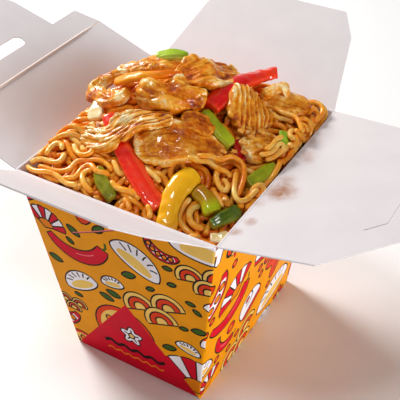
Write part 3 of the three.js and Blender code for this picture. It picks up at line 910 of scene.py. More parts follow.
def handle_crease():
    """The raised bead between the left flap and its handle, its board lighter as a painted highlight."""
    hinge, along, outward, up = flap_axes("left")
    fold = hinge + outward * HANDLE_CREASE
    bead = curve((-0.75, 0.24), (0, 1.5), (0.75, 0.24), 10)
    under = curve((HANDLE_GAP, -0.3), (0, -0.05), (-HANDLE_GAP, -0.3), 5)
    crease_strip("crease_handle", SIDE_HALF, (fold, along, outward, up), np.concatenate([bead, under]),
                 (fold - outward * 0.3, fold + outward * 0.3), bead_painted_highlight, True)


# ---------------------------------------------------------------- toppings
PLAIN_SHAPE = {               # what a topping has where its row says nothing
    "taper": 1, "roll": 0, "cup": 0, "ruffle": 0, "facet": 0, "skew": 0, "pale": 0,
    "fold": 0.7, "ridge": 0.14, "crease": 0.4, "fibre": 0.06, "fibre_width": 1.7, "fibre_tone": 0.03,
    "groove": 0, "lip": 0.3,
}


def topping(kind, width, thick, spine, shape, **usual):
    sizes = {"kind": kind, "width": width, "thick": thick, "spine": spine}
    return {**PLAIN_SHAPE, **usual, **sizes, **shape}


def chicken(width, thick, *spine, **shape):
    return topping("chicken", width, thick, spine, shape, blunt=2.6, square=2.4, ragged=0.07)


def strip(kind, width, thick, *spine, **shape):
    square = 3.6 if kind.startswith("bean") else 5.0
    return topping(kind, width, thick, spine, shape, blunt=7.0, square=square, ragged=0.02)


# Width and thickness come first, then the spine as x, y and lift over the noodles. Blunt and square
# are superellipse powers along and across, ragged and taper shares of the width, roll and slant
# angles in degrees and radians, and the rest millimetres of relief or shares of tone.
TOPPINGS = {
    "onion_front": strip("onion", 3.4, 2, (35, -38, 1.5), (38, -36, 1.5), (40, -33, 1.5)),
    "onion_left": strip("onion", 7, 2.6, (-30.6, -18, 2), (-33, -13, 3.4), (-35, -9, 4.4), taper=0.6),
    "pepper_olive": strip("olive", 5, 3, (-15, -38, 1.6), (-9.5, -42.5, 1.6), (-3, -45.5, 1.4), cup=1),
    "pepper_lime": strip("lime", 7, 4, (22, -26, 1.8), (27, -27, 2.2), (31.5, -30, 2), cup=1),
    "bean_front": strip("bean_dark", 5, 4.4, (33, -34, 2), (36, -29, 2.2), (39, -23, 2)),
    "bean_right": strip("bean", 5.2, 4.8, (37, -12, 2.2), (39, -6, 2.4), (41, 2, 2)),
    "bean_small": strip("bean_bright", 4.6, 3.4, (36, 20, 1.8), (39, 13, 1.8)),
    "bean_middle": strip("bean", 5.6, 5.4, (9, 2, 2.4), (16, -1, 2.6), (24, -3, 2.6)),
    "pepper_red_small": strip("red_dark", 5, 3, (24, 2, 1.5), (30, -4, 1.5)),
    "pepper_yellow": strip("yellow", 9, 3.4, (20.5, -45.5, 1.4), (17.6, -38, 2.6), (16.7, -30, 3),
                           (18.8, -21.5, 2.4), cup=1.2, taper=0.9),
    "pepper_red_long": strip("red", 7.4, 3.4, (-24, -17, 3.4), (-11, -27, 2), (3, -35, 2), (14, -40, 2),
                             cup=0.5, facet=-1, blunt=12),
    "chicken_crumbly": chicken(14, 6, (29, -2, 2.6), (33, 5, 3.2), (37.5, 12.5, 2.6),
                               ruffle=1.4, fibre=0.22, fibre_width=2.4),
    "chicken_flat": chicken(14, 4, (20, 29, 2.6), (30, 36, 3), (38, 40, 2.4), ruffle=1),
    "chicken_centre": chicken(22, 4.6, (-6, -26, 2.6), (2, -20, 3.4), (12, -14, 3.6), (24, -7, 2.8),
                              taper=0.6, cup=-1.6, ruffle=1, crease=0.02, ridge=0.07, fold=0.3,
                              lip=1.0, fibre=0.04, ragged=0.025, pale=0.05),
    "chicken_small": chicken(9, 5, (4.5, -9, 3.6), (10, -5.5, 4), (16.5, -4, 3.6)),
    "chicken_right": chicken(23, 6, (19, 26, 6), (22.5, 16, 5), (26, 5, 3.6), cup=-1, roll=-25,
                             ruffle=0.8, groove=1.2, fold=0.4, crease=0.1, slant=0.27, lip=0.5),
    "pepper_red_glossy": strip("red_glossy", 9, 3.4, (10.5, 4, 4), (11.5, 13, 5.4), (12.5, 26, 7),
                               (15.5, 37, 7.6), (19.5, 46, 8), roll=-24, cup=1.4, skew=-0.75, blunt=12),
    "chicken_crisp": chicken(6, 4, (22, 28, 6.4), (24, 36, 6.4), (29, 39, 5.4), ruffle=1.6),
    "chicken_fibrous": chicken(14, 3.4, (-30, -25, 2.8), (-19, -26, 4.4), (-9, -18, 6.2), (2.5, -11, 7),
                               taper=0.55, ruffle=1.4, cup=-0.8, blunt=5, fibre=0.24,
                               fibre_width=1.3, fibre_tone=0.1, pale=0.07, fold=0.4),
    "chicken_back": chicken(16, 7, (-38, 9, 4.4), (-28, 13, 4.2), (-17, 18, 3.4), (-8, 28, 2.8),
                            ruffle=1, fold=0.9, crease=0.7, pale=0.06),
    "chicken_glossy": chicken(20, 5.4, (-7, 7, 5.8), (1, 19, 7), (6.5, 34, 6),
                              cup=-1.4, ruffle=1, pale=0.04, fibre=0.03),
    "chicken_top": chicken(14.5, 9, (-17, -6, 4.6), (-5, -3.5, 5.8), (8, 5, 4.8),
                           ruffle=1, fold=1.1, crease=0.7, pale=0.07),
    "chicken_curled": chicken(6.6, 5.6, (-27, 3, 7.4), (-33, 2.5, 8), (-38.5, 0, 7.4), (-40.5, -4, 5.8),
                              (-35.5, -7.6, 4.8), (-29, -10, 5), (-23.5, -10, 6), (-20.5, -7.6, 7),
                              ruffle=0.6, pale=0.06, fold=0.5),
    "pepper_orange": strip("orange", 7, 1.8, (-29, -3.6, 8.4), (-21, -2.6, 9.4), (-11, 0.6, 9.2),
                           (-4, 6.5, 8.2), taper=0.4, cup=0.9, facet=-1),
    "bean_top": strip("bean_top", 6.8, 4.2, (-23, 17, 8), (-18, 20, 8.2), (-12.5, 25, 7.8),
                      roll=20, blunt=3.6, square=2.4),
}
RING_STEP = 0.32
MOST_RINGS = 110
MEAT_POINTS, STRIP_POINTS = 112, 48
FACET_DROP = 1.6
GROOVE_SPACING = 2.6
LIP_AT, LIP_WIDTH = 0.86, 0.1


def spine_path(piece, spacing):
    return smooth_path([(x, y, mound_height(x, y) + lift) for x, y, lift in piece["spine"]], spacing)


def slab_frame(piece, path):
    """Directions along, across and up at each point of a spine."""
    along = unit(np.gradient(path, axis=0))
    up = mound_normal(path[:, 0], path[:, 1])
    roll = math.radians(piece["roll"])
    up = up * math.cos(roll) + np.cross(along, up) * math.sin(roll)
    side = unit(np.cross(along, up))
    return along, side, np.cross(side, along)


def superellipse(angle, square):
    across, height = np.cos(angle), np.sin(angle)
    power = 2 / square
    return np.sign(across) * np.abs(across) ** power, np.sign(height) * np.abs(height) ** power


def meat_relief(piece, local, border, seed, slant):
    """Folds, fibres, grooves and a raised lip of cooked meat, and a tone from them: painted highlight on
    raised parts and the lip, painted shade in hollows and grooves, and fibre streaks.
    """
    c, s = math.cos(slant), math.sin(slant)
    local = local @ np.array([[c, s, 0], [-s, c, 0], [0, 0, 1]])
    folds = waves(local, 11.0, seed + 5, (1.5, 0.8, 1))
    fibres = waves(local, piece["fibre_width"], seed + 6, (9, 1, 1), 30)
    lumps = waves(local, 3.6, seed + 8, (1.6, 1, 1))
    ridges = waves(local, 3.2, seed + 9, (3, 1, 1), 30)
    creases = np.clip(np.abs(waves(local, 7.5, seed + 10, (1.6, 1, 1))), 0, 0.7)
    grooves = np.sin(local[:, 1] * TURN / GROOVE_SPACING + 0.6 * folds + 0.2 * lumps) * piece["groove"]
    lip = np.exp(-((border - LIP_AT) / LIP_WIDTH) ** 2) * piece["lip"]
    relief = piece["fold"] * folds + piece["ridge"] * ridges + piece["crease"] * creases
    relief = relief + 0.14 * lumps + piece["fibre"] * fibres + 0.34 * grooves + lip
    # Painted light: raised relief, the lip and groove ridges lighter, hollows and groove bottoms darker.
    tone = 0.47 + 0.15 * (relief - relief.mean()) + piece["fibre_tone"] * fibres
    return local, relief, tone + 0.2 * lip + piece["pale"] + 0.1 * grooves


def slab(name, piece, seed):
    """The fine surface of one slice or strip, with a tone: on chicken, painted highlight and shade from its
    relief; on vegetables, how near a cut side a point lies.
    """
    meat = piece["kind"] == "chicken"
    path = spine_path(piece, 0.2)
    length = np.linalg.norm(np.diff(path, axis=0), axis=1).sum()
    rings = int(max(24, min(MOST_RINGS, length / RING_STEP)))
    points = MEAT_POINTS if meat else STRIP_POINTS
    t = (1 - np.cos(math.pi * (np.arange(rings) + 0.3) / (rings - 0.4))) / 2

    def at_rings(values):
        at = t * (len(path) - 1)
        return np.stack([np.interp(at, np.arange(len(path)), values[:, k]) for k in range(3)], 1)

    centre = at_rings(path)
    along, side, up = (unit(at_rings(values)) for values in slab_frame(piece, path))
    across, height = superellipse(np.linspace(0, TURN, points, endpoint=False), piece["square"])
    draw = np.random.default_rng(seed)
    phases = draw.uniform(0, TURN, 4)

    # half width and thickness: blunt at the ends, tapering, and ragged along both edges
    size = (1 - np.abs(2 * t - 1) ** piece["blunt"]) ** (1 / piece["blunt"])
    edge = np.stack([t * length, np.zeros(rings), np.zeros(rings)], 1)
    ragged = piece["ragged"]
    left, right = (1 + ragged * waves(edge, 12, seed + k) + ragged * 0.5 * waves(edge, 3.4, seed + k + 1)
                   for k in (0, 2))
    narrowing = (1 + (piece["taper"] - 1) * t) * (1 + 0.12 * np.sin(5 * t + phases[0]))
    half = (piece["width"] / 2 * narrowing * size)[:, None]
    half = half * np.where(across > 0, right[:, None], left[:, None])
    thick = piece["thick"] / 2 * (0.35 + 0.65 * size)[:, None] * np.ones(points)
    if meat:
        thick = thick * (1 - 0.45 * np.abs(across) ** 3)

    # cupped across, ruffled along the edges, and sloping on a cut side
    wave = np.sin(9 * t[:, None] + phases[1] + np.where(across > 0, phases[2], phases[3]))
    facet = np.clip(across * piece["facet"] - 0.25, 0, 1)
    lift = piece["cup"] * (1 - across ** 2) + piece["ruffle"] * wave * across ** 2 * size[:, None]
    lift = lift - FACET_DROP * facet
    shift = (piece["skew"] * t ** 12)[:, None] * across * half
    surface = (centre[:, None] + side[:, None] * (across * half)[..., None]
               + up[:, None] * (height * thick + lift)[..., None] + along[:, None] * shift[..., None])
    surface = surface.reshape(-1, 3)
    normal = unit((side[:, None] * (across / piece["width"])[:, None]
                   + up[:, None] * (height / piece["thick"])[:, None]).reshape(-1, 3))
    local = np.stack([np.broadcast_to(t[:, None] * length, half.shape).ravel(),
                      (across * half).ravel(), (height * thick).ravel()], 1)
    end_share = np.abs(2 * t - 1)
    if meat:
        border = np.maximum(np.abs(across), 0.93 * end_share[:, None]).ravel()
        slant = piece.get("slant", draw.uniform(-0.25, 0.25))
        local, relief, tone = meat_relief(piece, local, border, seed, slant)
    else:
        ribs = 0.1 if piece["kind"].startswith("bean") else 0.03
        relief = 0.12 * waves(local, 5.0, seed + 5) + ribs * waves(local, 1.8, seed + 6, (12, 1, 1), 30)
        tone = np.tile(np.where(facet > 0, 0.95, np.abs(across)), rings)
    surface = surface + normal * relief[:, None]
    ends = [surface[:points].mean(0), surface[-points:].mean(0)]
    solid = mesh_piece(
        name + "_food", np.concatenate([surface, ends]), sleeve_faces(rings, points),
        [food_finish(piece["kind"])],
        tone=np.concatenate([tone, tone[:1], tone[-1:]]),
        rim=np.concatenate([np.repeat(end_share, points), [1, 1]]),
        run=np.concatenate([np.repeat(t, points), [0, 1]]),
        grain=np.concatenate([local, local[:1], local[-1:]]) * MM)
    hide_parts(name)
    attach(solid, "box")


finishes = {}


def food_finish(kind):
    if kind not in finishes:
        finishes[kind] = meat_finish() if kind == "chicken" else pepper_finish(kind)
    return finishes[kind]


# Where the glaze is thickest on the chicken: x, y, lift over the heap and radius.
GLAZED = ((0, -20, 5, 9), (2, 32, 9, 9), (-28, 12, 8, 7), (-25, -25, 5, 9), (-10, -4, 9, 6), (21, 22, 8, 6))


def meat_finish():
    """Seared, glazed chicken: caramel with wet patches, cream ridges as painted highlight and dark creases as
    painted shade.
    """
    finish = Finish("chicken", Roughness=0.35, Specular_IOR_Level=0.2, Coat_Weight=0.3, Coat_Roughness=0.07,
                    Subsurface_Weight=0.06, Subsurface_Scale=0.002, Subsurface_Radius=(1.0, 0.4, 0.1))
    streaks = finish.noise(0.9, stretch=(0.16, 1, 1))
    value = finish.varied(finish.attribute("tone"), finish.noise(4.5, 5, 0.62, distortion=0.6), 1.0)
    for noise, amount in ((streaks, 0.5), (finish.noise(1.3), 0.5), (finish.noise(12, detail=2), 1.0)):
        value = finish.varied(value, noise, amount)
    colour = finish.ramp(value, [
        (0.04, srgb(136, 44, 0)), (0.28, srgb(196, 92, 0)), (0.48, srgb(226, 132, 10)),
        (0.68, srgb(246, 176, 60)), (0.9, srgb(255, 230, 170)),
    ])
    sear = finish.math("MULTIPLY", finish.mask(finish.noise(9, 5, 0.65), 0.6, 0.7), 0.45)
    finish.colour(finish.mix(sear, colour, srgb(140, 44, 0)))
    glazed = 0.0
    for x, y, lift, radius in GLAZED:
        glazed = finish.math("MAXIMUM", glazed, finish.spot((x, y, mound_height(x, y) + lift), radius))
    finish.wet(0.15, 0.7, 5, glazed)
    specks = finish.math("MULTIPLY", finish.noise(1.3), glazed)
    finish.rough(finish.noise(3.2), 0.12, 0.5)
    finish.bump((streaks, 0.14), (finish.noise(2.2, distortion=0.5), 0.3), (specks, 1.1),
                (finish.noise(0.7, detail=2), 0.1))
    return finish.material


# skin, deeper flesh, cut edge and far end of each vegetable
VEGETABLE_COLOURS = {
    "red": (srgb(226, 6, 2), srgb(242, 36, 8), srgb(250, 96, 40), srgb(244, 50, 16)),
    "red_glossy": (srgb(200, 0, 2), srgb(214, 6, 2), srgb(236, 60, 14), srgb(244, 50, 8)),
    "red_dark": (srgb(160, 2, 6), srgb(190, 12, 8), srgb(214, 60, 30), srgb(180, 8, 8)),
    "yellow": (srgb(255, 192, 0), srgb(252, 176, 0), srgb(255, 210, 40), srgb(255, 188, 0)),
    "orange": (srgb(244, 150, 6), srgb(248, 164, 20), srgb(244, 120, 10), srgb(226, 104, 4)),
    "olive": (srgb(110, 112, 6), srgb(140, 140, 18), srgb(176, 176, 60), srgb(120, 120, 10)),
    "lime": (srgb(186, 112, 6), srgb(178, 132, 6), srgb(206, 180, 20), srgb(190, 206, 4)),
    "bean": (srgb(124, 136, 2), srgb(158, 164, 8), srgb(200, 196, 60), srgb(176, 188, 20)),
    "bean_bright": (srgb(132, 186, 20), srgb(160, 206, 44), srgb(200, 230, 100), srgb(150, 200, 40)),
    "bean_top": (srgb(166, 200, 36), srgb(180, 208, 56), srgb(206, 224, 110), srgb(158, 196, 30)),
    "bean_dark": (srgb(58, 80, 4), srgb(88, 112, 10), srgb(150, 160, 44), srgb(80, 100, 8)),
    "crumb": (srgb(214, 118, 14), srgb(236, 160, 50), srgb(250, 206, 120), srgb(226, 140, 30)),
    "onion": (srgb(236, 206, 126), srgb(246, 226, 164), srgb(252, 240, 204), srgb(240, 214, 140)),
}


def pepper_finish(kind):
    """Cooked vegetable: wet skin above, paler flesh at the cut sides, streaks along its length."""
    skin_colour, mid, flesh, tip = VEGETABLE_COLOURS[kind]
    finish = Finish("pepper_" + kind, Roughness=0.3, Specular_IOR_Level=0.15,
                    Coat_Weight=0.25 if kind == "orange" else 0.8, Coat_Roughness=0.05,
                    Subsurface_Weight=0.1, Subsurface_Scale=0.002, Subsurface_Radius=(1.0, 0.5, 0.3))
    streaks = finish.noise(1.6, stretch=(0.14, 1, 1))
    mottle = finish.math("MULTIPLY_ADD", streaks, 0.6, finish.math("MULTIPLY", finish.noise(4), 0.4))
    body = finish.ramp(mottle, [(0.34, skin_colour), (0.52, mid), (0.74, flesh)])
    body = finish.mix(finish.mask(finish.attribute("run"), 0.5, 0.85), body, tip)
    cut = finish.math("MAXIMUM", finish.mask(finish.attribute("tone"), 0.8, 0.97),
                      finish.mask(finish.attribute("rim"), 0.9, 0.97))
    finish.colour(finish.mix(finish.math("MULTIPLY", cut, 0.6), body, flesh))
    finish.rough(finish.noise(2.4), 0.2, 0.5)
    finish.bump((streaks, 0.12), (finish.noise(1.8), 0.14), (finish.noise(0.6, detail=2), 0.05))
    return finish.material


# ---------------------------------------------------------------- noodles
NOODLE_RADIUS = 1.25
SEGMENT = 1.5                  # between a strand's points while it settles
REST_GAP = 2 * NOODLE_RADIUS * 0.97
WALL_GAP = NOODLE_RADIUS + 0.25
STRANDS = (                    # number, centre height over the mound, shortest and longest
    (34, -3.2, 60, 110),
    (36, -1.0, 60, 120),
    (38, 1.2, 60, 120),
)
TURN_BACK = (42.8, 48.6)       # x and y at which a strand turns away from the walls
CEILING = 1.9                  # of the strands' centres over the mound
CORE_DEPTH = 5.4
CORE_GAP = 0.4                 # between the core and the walls
SHOULDER = 1.6                 # how steeply the heap may rise from the rim
LOOSE_LIFT = 2.4               # of the routed strands' centres over the mound
OVER_LIFT = 5.2                # the same over the chicken
LOOSE_EASE = 1 / 8             # how much less they give way than the others
ROUNDS = 110

# Routes of the strands that lie loose on top, as x, y.
LOOSE_STRANDS = (
    ((-31, -32), (-28, -34), (-24, -35), (-21, -35), (-20, -32), (-24, -30), (-27, -31), (-27, -33),
     (-23, -35)),
    ((-42, -46), (-41, -43), (-38, -42), (-34, -42), (-32, -41), (-32, -37), (-34, -36)),
    ((-38, -46), (-33, -46), (-29, -45), (-25, -42), (-25, -39), (-24, -37), (-21, -35), (-16, -35),
     (-9, -36)),
    ((-35, -48), (-29, -49), (-23, -48), (-20, -46), (-20, -43), (-21, -40), (-20, -38), (-17, -37),
     (-9, -38)),
    ((-16, -39), (-18, -39), (-19, -42), (-17, -45), (-15, -47), (-11, -48)),
    ((-12, -32), (-10, -31), (-7, -32), (-5, -35), (-6, -37), (-8, -37), (-9, -35), (-11, -33)),
    ((-7, -40), (-4, -42), (0, -42), (3, -41), (6, -41)),
    ((-43, -28), (-42, -26), (-39, -24), (-35, -23), (-32, -24), (-29, -26)),
    ((-43, -33), (-40, -31), (-38, -29), (-34, -27), (-31, -27)),
    ((-39, -40), (-40, -37), (-39, -34), (-37, -33), (-35, -34), (-34, -36)),
    ((15, -14), (18, -13), (21, -13), (24, -12), (26, -8), (29, -6), (31, -7), (34, -10), (35, -14),
     (37, -17)),
    ((31, -8), (32, -12), (33, -16), (34, -19), (36, -20), (39, -21)),
    ((25, -13), (25, -16), (26, -19), (28, -20), (31, -20), (32, -19)),
    ((29, -21), (32, -22), (34, -25)),
    ((33, -3), (36, -2), (37, 1), (39, 4), (41, 7), (43, 10)),
    ((42, 8), (43, 12), (42, 16), (43, 20), (42, 25)),
    ((35, 11), (36, 14), (38, 14), (39, 11), (39, 8), (37, 6)),
    ((32, 8), (34, 5), (36, 3), (38, 6), (36, 8), (34, 9)),
    ((32, -6), (35, -4), (37, -4)),
    ((39, -20), (40, -16), (40, -12), (41, -9), (43, -10), (43, -13), (42, -17), (41, -22)),
    ((35, -23), (37, -21), (40, -20), (42, -21), (42, -24)),
    ((22, -30), (21, -33), (21, -37), (24, -40), (27, -41), (30, -41)),
    ((26, -30), (24, -32), (24, -35), (26, -37), (29, -38), (32, -37)),
    ((34, -26), (34, -30), (33, -34), (32, -38)),
    ((27, -21), (30, -22), (33, -24), (34, -25)),
    ((10, -42), (12, -43), (13, -46)),
    ((2, -43), (4, -45), (5, -47)),
    ((0, -29), (4, -30), (8, -31), (10, -32)),
    ((34, 34), (34, 40), (35, 45), (38, 47), (42, 46), (43, 42), (43, 36), (43, 30), (42, 24)),
    ((37, 35), (38, 39), (40, 42), (42, 41), (43, 38), (42, 36), (39, 36)),
    ((24, 28), (28, 30), (33, 31), (37, 30), (41, 28), (43, 26)),
    ((27, 25), (30, 25), (33, 27), (37, 28)),
    ((43, -16), (42, -9), (44, -2), (42, 5), (44, 12), (43, 18)),
    ((44, 4), (43, 9), (44, 14), (42, 21), (44, 28), (43, 35), (41, 40)),
    ((38, 22), (42, 22), (44, 24), (44, 30), (42, 33), (39, 32), (38, 28), (41, 26)),
    ((40, 12), (43, 16), (44, 21), (42, 25), (39, 24), (39, 19), (42, 17)),
    ((44, 33), (43, 39), (44, 45), (41, 48), (36, 48)),
    ((-44, -40), (-43, -34), (-44, -27), (-42, -20), (-44, -13), (-42, -7)),
    ((-44, -47), (-38, -49), (-31, -48), (-24, -49), (-17, -49)),
)
# Routes of the strands that lie over the chicken.
OVER_STRANDS = (
    ((14, -15), (16, -14), (19, -13), (23, -13), (25, -10), (29, -8), (32, -8), (35, -12), (36, -17),
     (36, -22)),
    ((13, -17), (15, -16), (19, -15), (23, -16), (26, -16), (29, -14), (31, -15)),
    ((25, -14), (26, -18), (29, -21), (32, -22), (33, -20), (31, -18), (29, -18)),
    ((31, -13), (33, -17), (36, -21), (39, -23), (41, -19), (42, -14)),
    ((33, 0), (35, 5), (36, 10), (39, 10), (40, 7), (40, 3), (38, 0)),
    ((31, 4), (33, 8), (35, 11), (38, 12)),
    ((28, 27), (32, 27), (37, 28), (40, 26), (43, 22)),
)


def heap_height(x, y):
    """The mound as the loose noodles lie: banked against the left, back and front walls."""
    near = np.maximum(np.exp((-45 - x) / 7), np.exp((-51 - y) / 7) * (x < 22))
    near = np.maximum(near, np.exp((y - 51) / 7))
    near = np.maximum(near, np.exp((x - 45) / 6) * (y > -30))
    from_wall = np.minimum(inner_half(0, HEIGHT) - np.abs(x), inner_half(1, HEIGHT) - np.abs(y))
    return np.minimum(mound_height(x, y) + 2.4 * near, HEIGHT - 3 + SHOULDER * from_wall)


BLOB_REACH = 2.6               # half length of the ellipsoids that stand for the toppings


def topping_blobs():
    """Ellipsoids along the toppings: centre, side, up, along, half width and half thickness."""
    blobs = []
    for piece in TOPPINGS.values():
        path = spine_path(piece, 2.0)
        along, side, up = slab_frame(piece, path)
        share = np.linspace(0, 1, len(path))
        half = piece["width"] / 2 * (1 + (piece["taper"] - 1) * share) * 0.96
        blobs += zip(path, side, up, along, half, [piece["thick"] / 2] * len(path))
    return blobs


def keep_off(points, blobs):
    """Moves strand points out of the toppings, mostly to below them."""
    for centre, side, up, along, half, thick in blobs:
        gap = points - centre
        near = np.nonzero(np.abs(gap).max(1) < half + 4)[0]
        if not len(near):
            continue
        gap = gap[near]
        a = gap @ side / (half + NOODLE_RADIUS * 0.6)
        b = gap @ up / (thick + NOODLE_RADIUS)
        c = gap @ along / (BLOB_REACH + NOODLE_RADIUS * 0.5)
        inside = a * a + b * b + c * c < 1
        if not inside.any():
            continue
        level = np.sqrt(np.clip(1 - a * a - c * c, 0, 1))
        target = np.where(b < 0.3, -level, level)
        move = (target - b) * (thick + NOODLE_RADIUS) * 0.5
        points[near[inside]] += up * move[inside, None]


def strand_walk(draw, length):
    """One wavy strand on the mound, as x, y, that turns away from the carton's walls."""
    x = draw.uniform(-43, 43)
    y = draw.uniform(-48, 48)
    heading = draw.uniform(0, TURN)
    curl = [(draw.uniform(0.35, 1.1), TURN / draw.uniform(16, 46), draw.uniform(0, 6.3)) for _ in range(3)]
    points = []
    for i in range(int(length / SEGMENT)):
        points.append((x, y))
        turn = sum(a * math.sin(k * i * SEGMENT + p) for a, k, p in curl)
        x += SEGMENT * math.cos(heading + turn)
        y += SEGMENT * math.sin(heading + turn)
        for value, limit in zip((x, y), TURN_BACK):
            if abs(value) > limit:
                delta = (math.atan2(-y, -x) - heading + math.pi) % TURN - math.pi
                heading += 0.35 * delta
    return np.array(points)


def pull(points, ease, links):
    """Brings linked points back towards their first distances."""
    for a, b, length, stiff in links:
        gap = points[b] - points[a]
        size = np.linalg.norm(gap, axis=1)
        move = gap * (0.5 * stiff * (size - length) / (size + 1e-9))[:, None]
        np.add.at(points, a, move * ease[a])
        np.add.at(points, b, -move * ease[b])


CELL_STEPS = (1048576, 1024, 1)    # of a cell's number along x, y and z


def close_pairs(points, strand):
    """Pairs of points in neighbouring cells, apart from near ones on the same strand."""
    around = [(dx, dy, dz) for dx in (-1, 0, 1) for dy in (-1, 0, 1) for dz in (-1, 0, 1)]
    offsets = [o for o in around if o > (0, 0, 0)] + [(0, 0, 0)]
    index = np.arange(len(points))
    key = (np.floor(points / REST_GAP).astype(np.int64) + 512) @ CELL_STEPS
    order = np.argsort(key, kind="stable")
    sorted_key = key[order]
    pairs = []
    for offset in offsets:
        want = key + np.dot(offset, CELL_STEPS)
        low = np.searchsorted(sorted_key, want, "left")
        high = np.searchsorted(sorted_key, want, "right")
        for extra in range(int((high - low).max(initial=0))):
            ok = low + extra < high
            pairs.append(np.stack([index[ok], order[(low + extra)[ok]]], 1))
    pairs = np.concatenate(pairs)
    near = (strand[pairs[:, 0]] == strand[pairs[:, 1]]) & (np.abs(pairs[:, 0] - pairs[:, 1]) < 5)
    return pairs[~near & (pairs[:, 0] != pairs[:, 1])].T


def push_apart(points, ease, a, b):
    gap = points[b] - points[a]
    size = np.linalg.norm(gap, axis=1)
    touch = size < REST_GAP
    a, b, gap, size = a[touch], b[touch], gap[touch], size[touch]
    direction = gap / (size + 1e-9)[:, None]
    direction[:, 2] += 0.02 * np.sign(direction[:, 2])
    move = direction * (0.4 * (REST_GAP - size))[:, None]
    np.add.at(points, b, move * 0.7 * ease[b])
    np.add.at(points, a, -move * 0.7 * ease[a])


def settle(points, strand, ease, ceiling):
    """Relaxes the strands: they keep their length and bends, stay apart and lie on the core."""
    blobs = topping_blobs()
    links = []
    for step, stiff in ((1, 1.0), (2, 0.5), (4, 0.25)):
        a = np.nonzero(strand[:-step] == strand[step:])[0]
        links.append((a, a + step, np.linalg.norm(points[a + step] - points[a], axis=1), stiff))
    for turn in range(ROUNDS):
        points[:, 2] -= 0.05 * ease[:, 0]
        pull(points, ease, links)
        pull(points, ease, links)
        if turn % 3 == 0:
            a, b = close_pairs(points, strand)
        push_apart(points, ease, a, b)
        keep_off(points, blobs)
        ground = heap_height(points[:, 0], points[:, 1])
        over = points[:, 2] - ground - ceiling
        points[:, 2] -= 0.3 * np.clip(over, 0, None)
        points[:, 2] = np.maximum(points[:, 2], ground - CORE_DEPTH + NOODLE_RADIUS)
        for axis in (0, 1):
            limit = inner_half(axis, points[:, 2]) - WALL_GAP
            points[:, axis] = np.clip(points[:, axis], -limit, limit)


def tubes(name, paths, tones, radii, material, sides=8):
    """All strands as closed round tubes in one mesh."""
    vertices, faces, tone_values = [], [], []
    angle = np.linspace(0, TURN, sides, endpoint=False)
    start = 0
    for path, tone, radius in zip(paths, tones, radii):
        n = len(path)
        along = unit(np.gradient(path, axis=0))
        side = np.zeros_like(along)
        last = unit(np.cross(along[0], (0, 0, 1.0)) + 1e-6)
        for k in range(n):
            last = unit(last - along[k] * (last @ along[k]))
            side[k] = last
        up = np.cross(side, along)
        ends = np.minimum(np.arange(n), np.arange(n)[::-1]) * np.linalg.norm(path[1] - path[0]) / radius
        scale = np.sqrt(np.clip(1 - (1 - np.clip(ends + 0.25, 0, 1)) ** 2, 0.02, 1)) * radius
        ring = side[:, None] * np.cos(angle)[None, :, None] + up[:, None] * np.sin(angle)[None, :, None]
        vertices.append((path[:, None] + ring * scale[:, None, None]).reshape(-1, 3))
        vertices.append(np.stack([path[0] - along[0] * 0.1, path[-1] + along[-1] * 0.1]))
        faces += [[i + start for i in f] for f in sleeve_faces(n, sides)]
        start += n * sides + 2
        tone_values.append(np.full(n * sides + 2, tone))
    return mesh_piece(name, np.concatenate(vertices), faces, [material], tone=np.concatenate(tone_values))


def noodle_finish():
    """Fried egg noodles: golden, unevenly browned, darker in the lower layers as painted shade, oiled."""
    finish = Finish("noodles", Roughness=0.3, Specular_IOR_Level=0.3, Coat_Weight=0.35, Coat_Roughness=0.08,
                    Subsurface_Weight=0.2, Subsurface_Scale=0.0015, Subsurface_Radius=(1.0, 0.5, 0.2))
    value = finish.varied(finish.attribute("tone"), finish.noise(9), 0.9)
    finish.colour(finish.ramp(finish.varied(value, finish.noise(1.6), 0.6), [
        (0.05, srgb(184, 62, 0)), (0.35, srgb(242, 122, 0)), (0.62, srgb(255, 168, 32)),
        (0.95, srgb(255, 216, 118)),
    ]))
    finish.rough(finish.noise(3.5), 0.24, 0.5)
    finish.wet(0.2, 0.9)
    finish.bump((finish.noise(2.6, detail=2), 0.25), (finish.noise(0.8, detail=2), 0.1))
    return finish.material


def core_finish():
    finish = Finish("noodle_core", Roughness=0.4, Specular_IOR_Level=0.4)
    # Dark brown: painted shade, seen in the gaps between the strands.
    gap_shade = [(0.3, srgb(84, 28, 2)), (0.75, srgb(146, 66, 8))]
    finish.colour(finish.ramp(finish.noise(4, detail=4), gap_shade))
    finish.bump((finish.noise(2.5), 0.8))
    return finish.material


def noodle_core():
    """The body of the heap under the loose strands, lumpy on top, its dark brown a painted shade for the gaps
    between the strands.
    """
    nx, ny = 60, 68
    shares = np.meshgrid(np.linspace(-1, 1, nx), np.linspace(-1, 1, ny), indexing="ij")

    def across(z):
        return [shares[axis] * (inner_half(axis, z) - CORE_GAP) for axis in (0, 1)]

    x, y = across(90.0)
    z = heap_height(x, y) - CORE_DEPTH
    flat = np.stack([x.ravel(), y.ravel(), z.ravel()], 1)
    z = z + 0.7 * waves(flat, 5, 5).reshape(z.shape)
    floor = np.full_like(z, BOARD + 0.3)
    vertices = np.concatenate([np.stack([*across(level), level], -1).reshape(-1, 3) for level in (z, floor)])
    i, j = np.meshgrid(np.arange(nx - 1), np.arange(ny - 1), indexing="ij")
    a = (i * ny + j).ravel()
    quads = np.stack([a, a + ny, a + ny + 1, a + 1], 1)
    number = np.arange(nx * ny).reshape(nx, ny)
    border = [*number[:, 0], *number[-1, 1:], *number[-2::-1, -1], *number[0, -2:0:-1]]
    count = nx * ny
    faces = quads.tolist() + (quads[:, ::-1] + count).tolist()
    faces += [[p, p + count, q + count, q] for p, q in zip(border, border[1:] + border[:1])]
    core = mesh_piece("noodle_core", vertices, faces, [core_finish()])
    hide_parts("noodles")
    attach(core, "box")


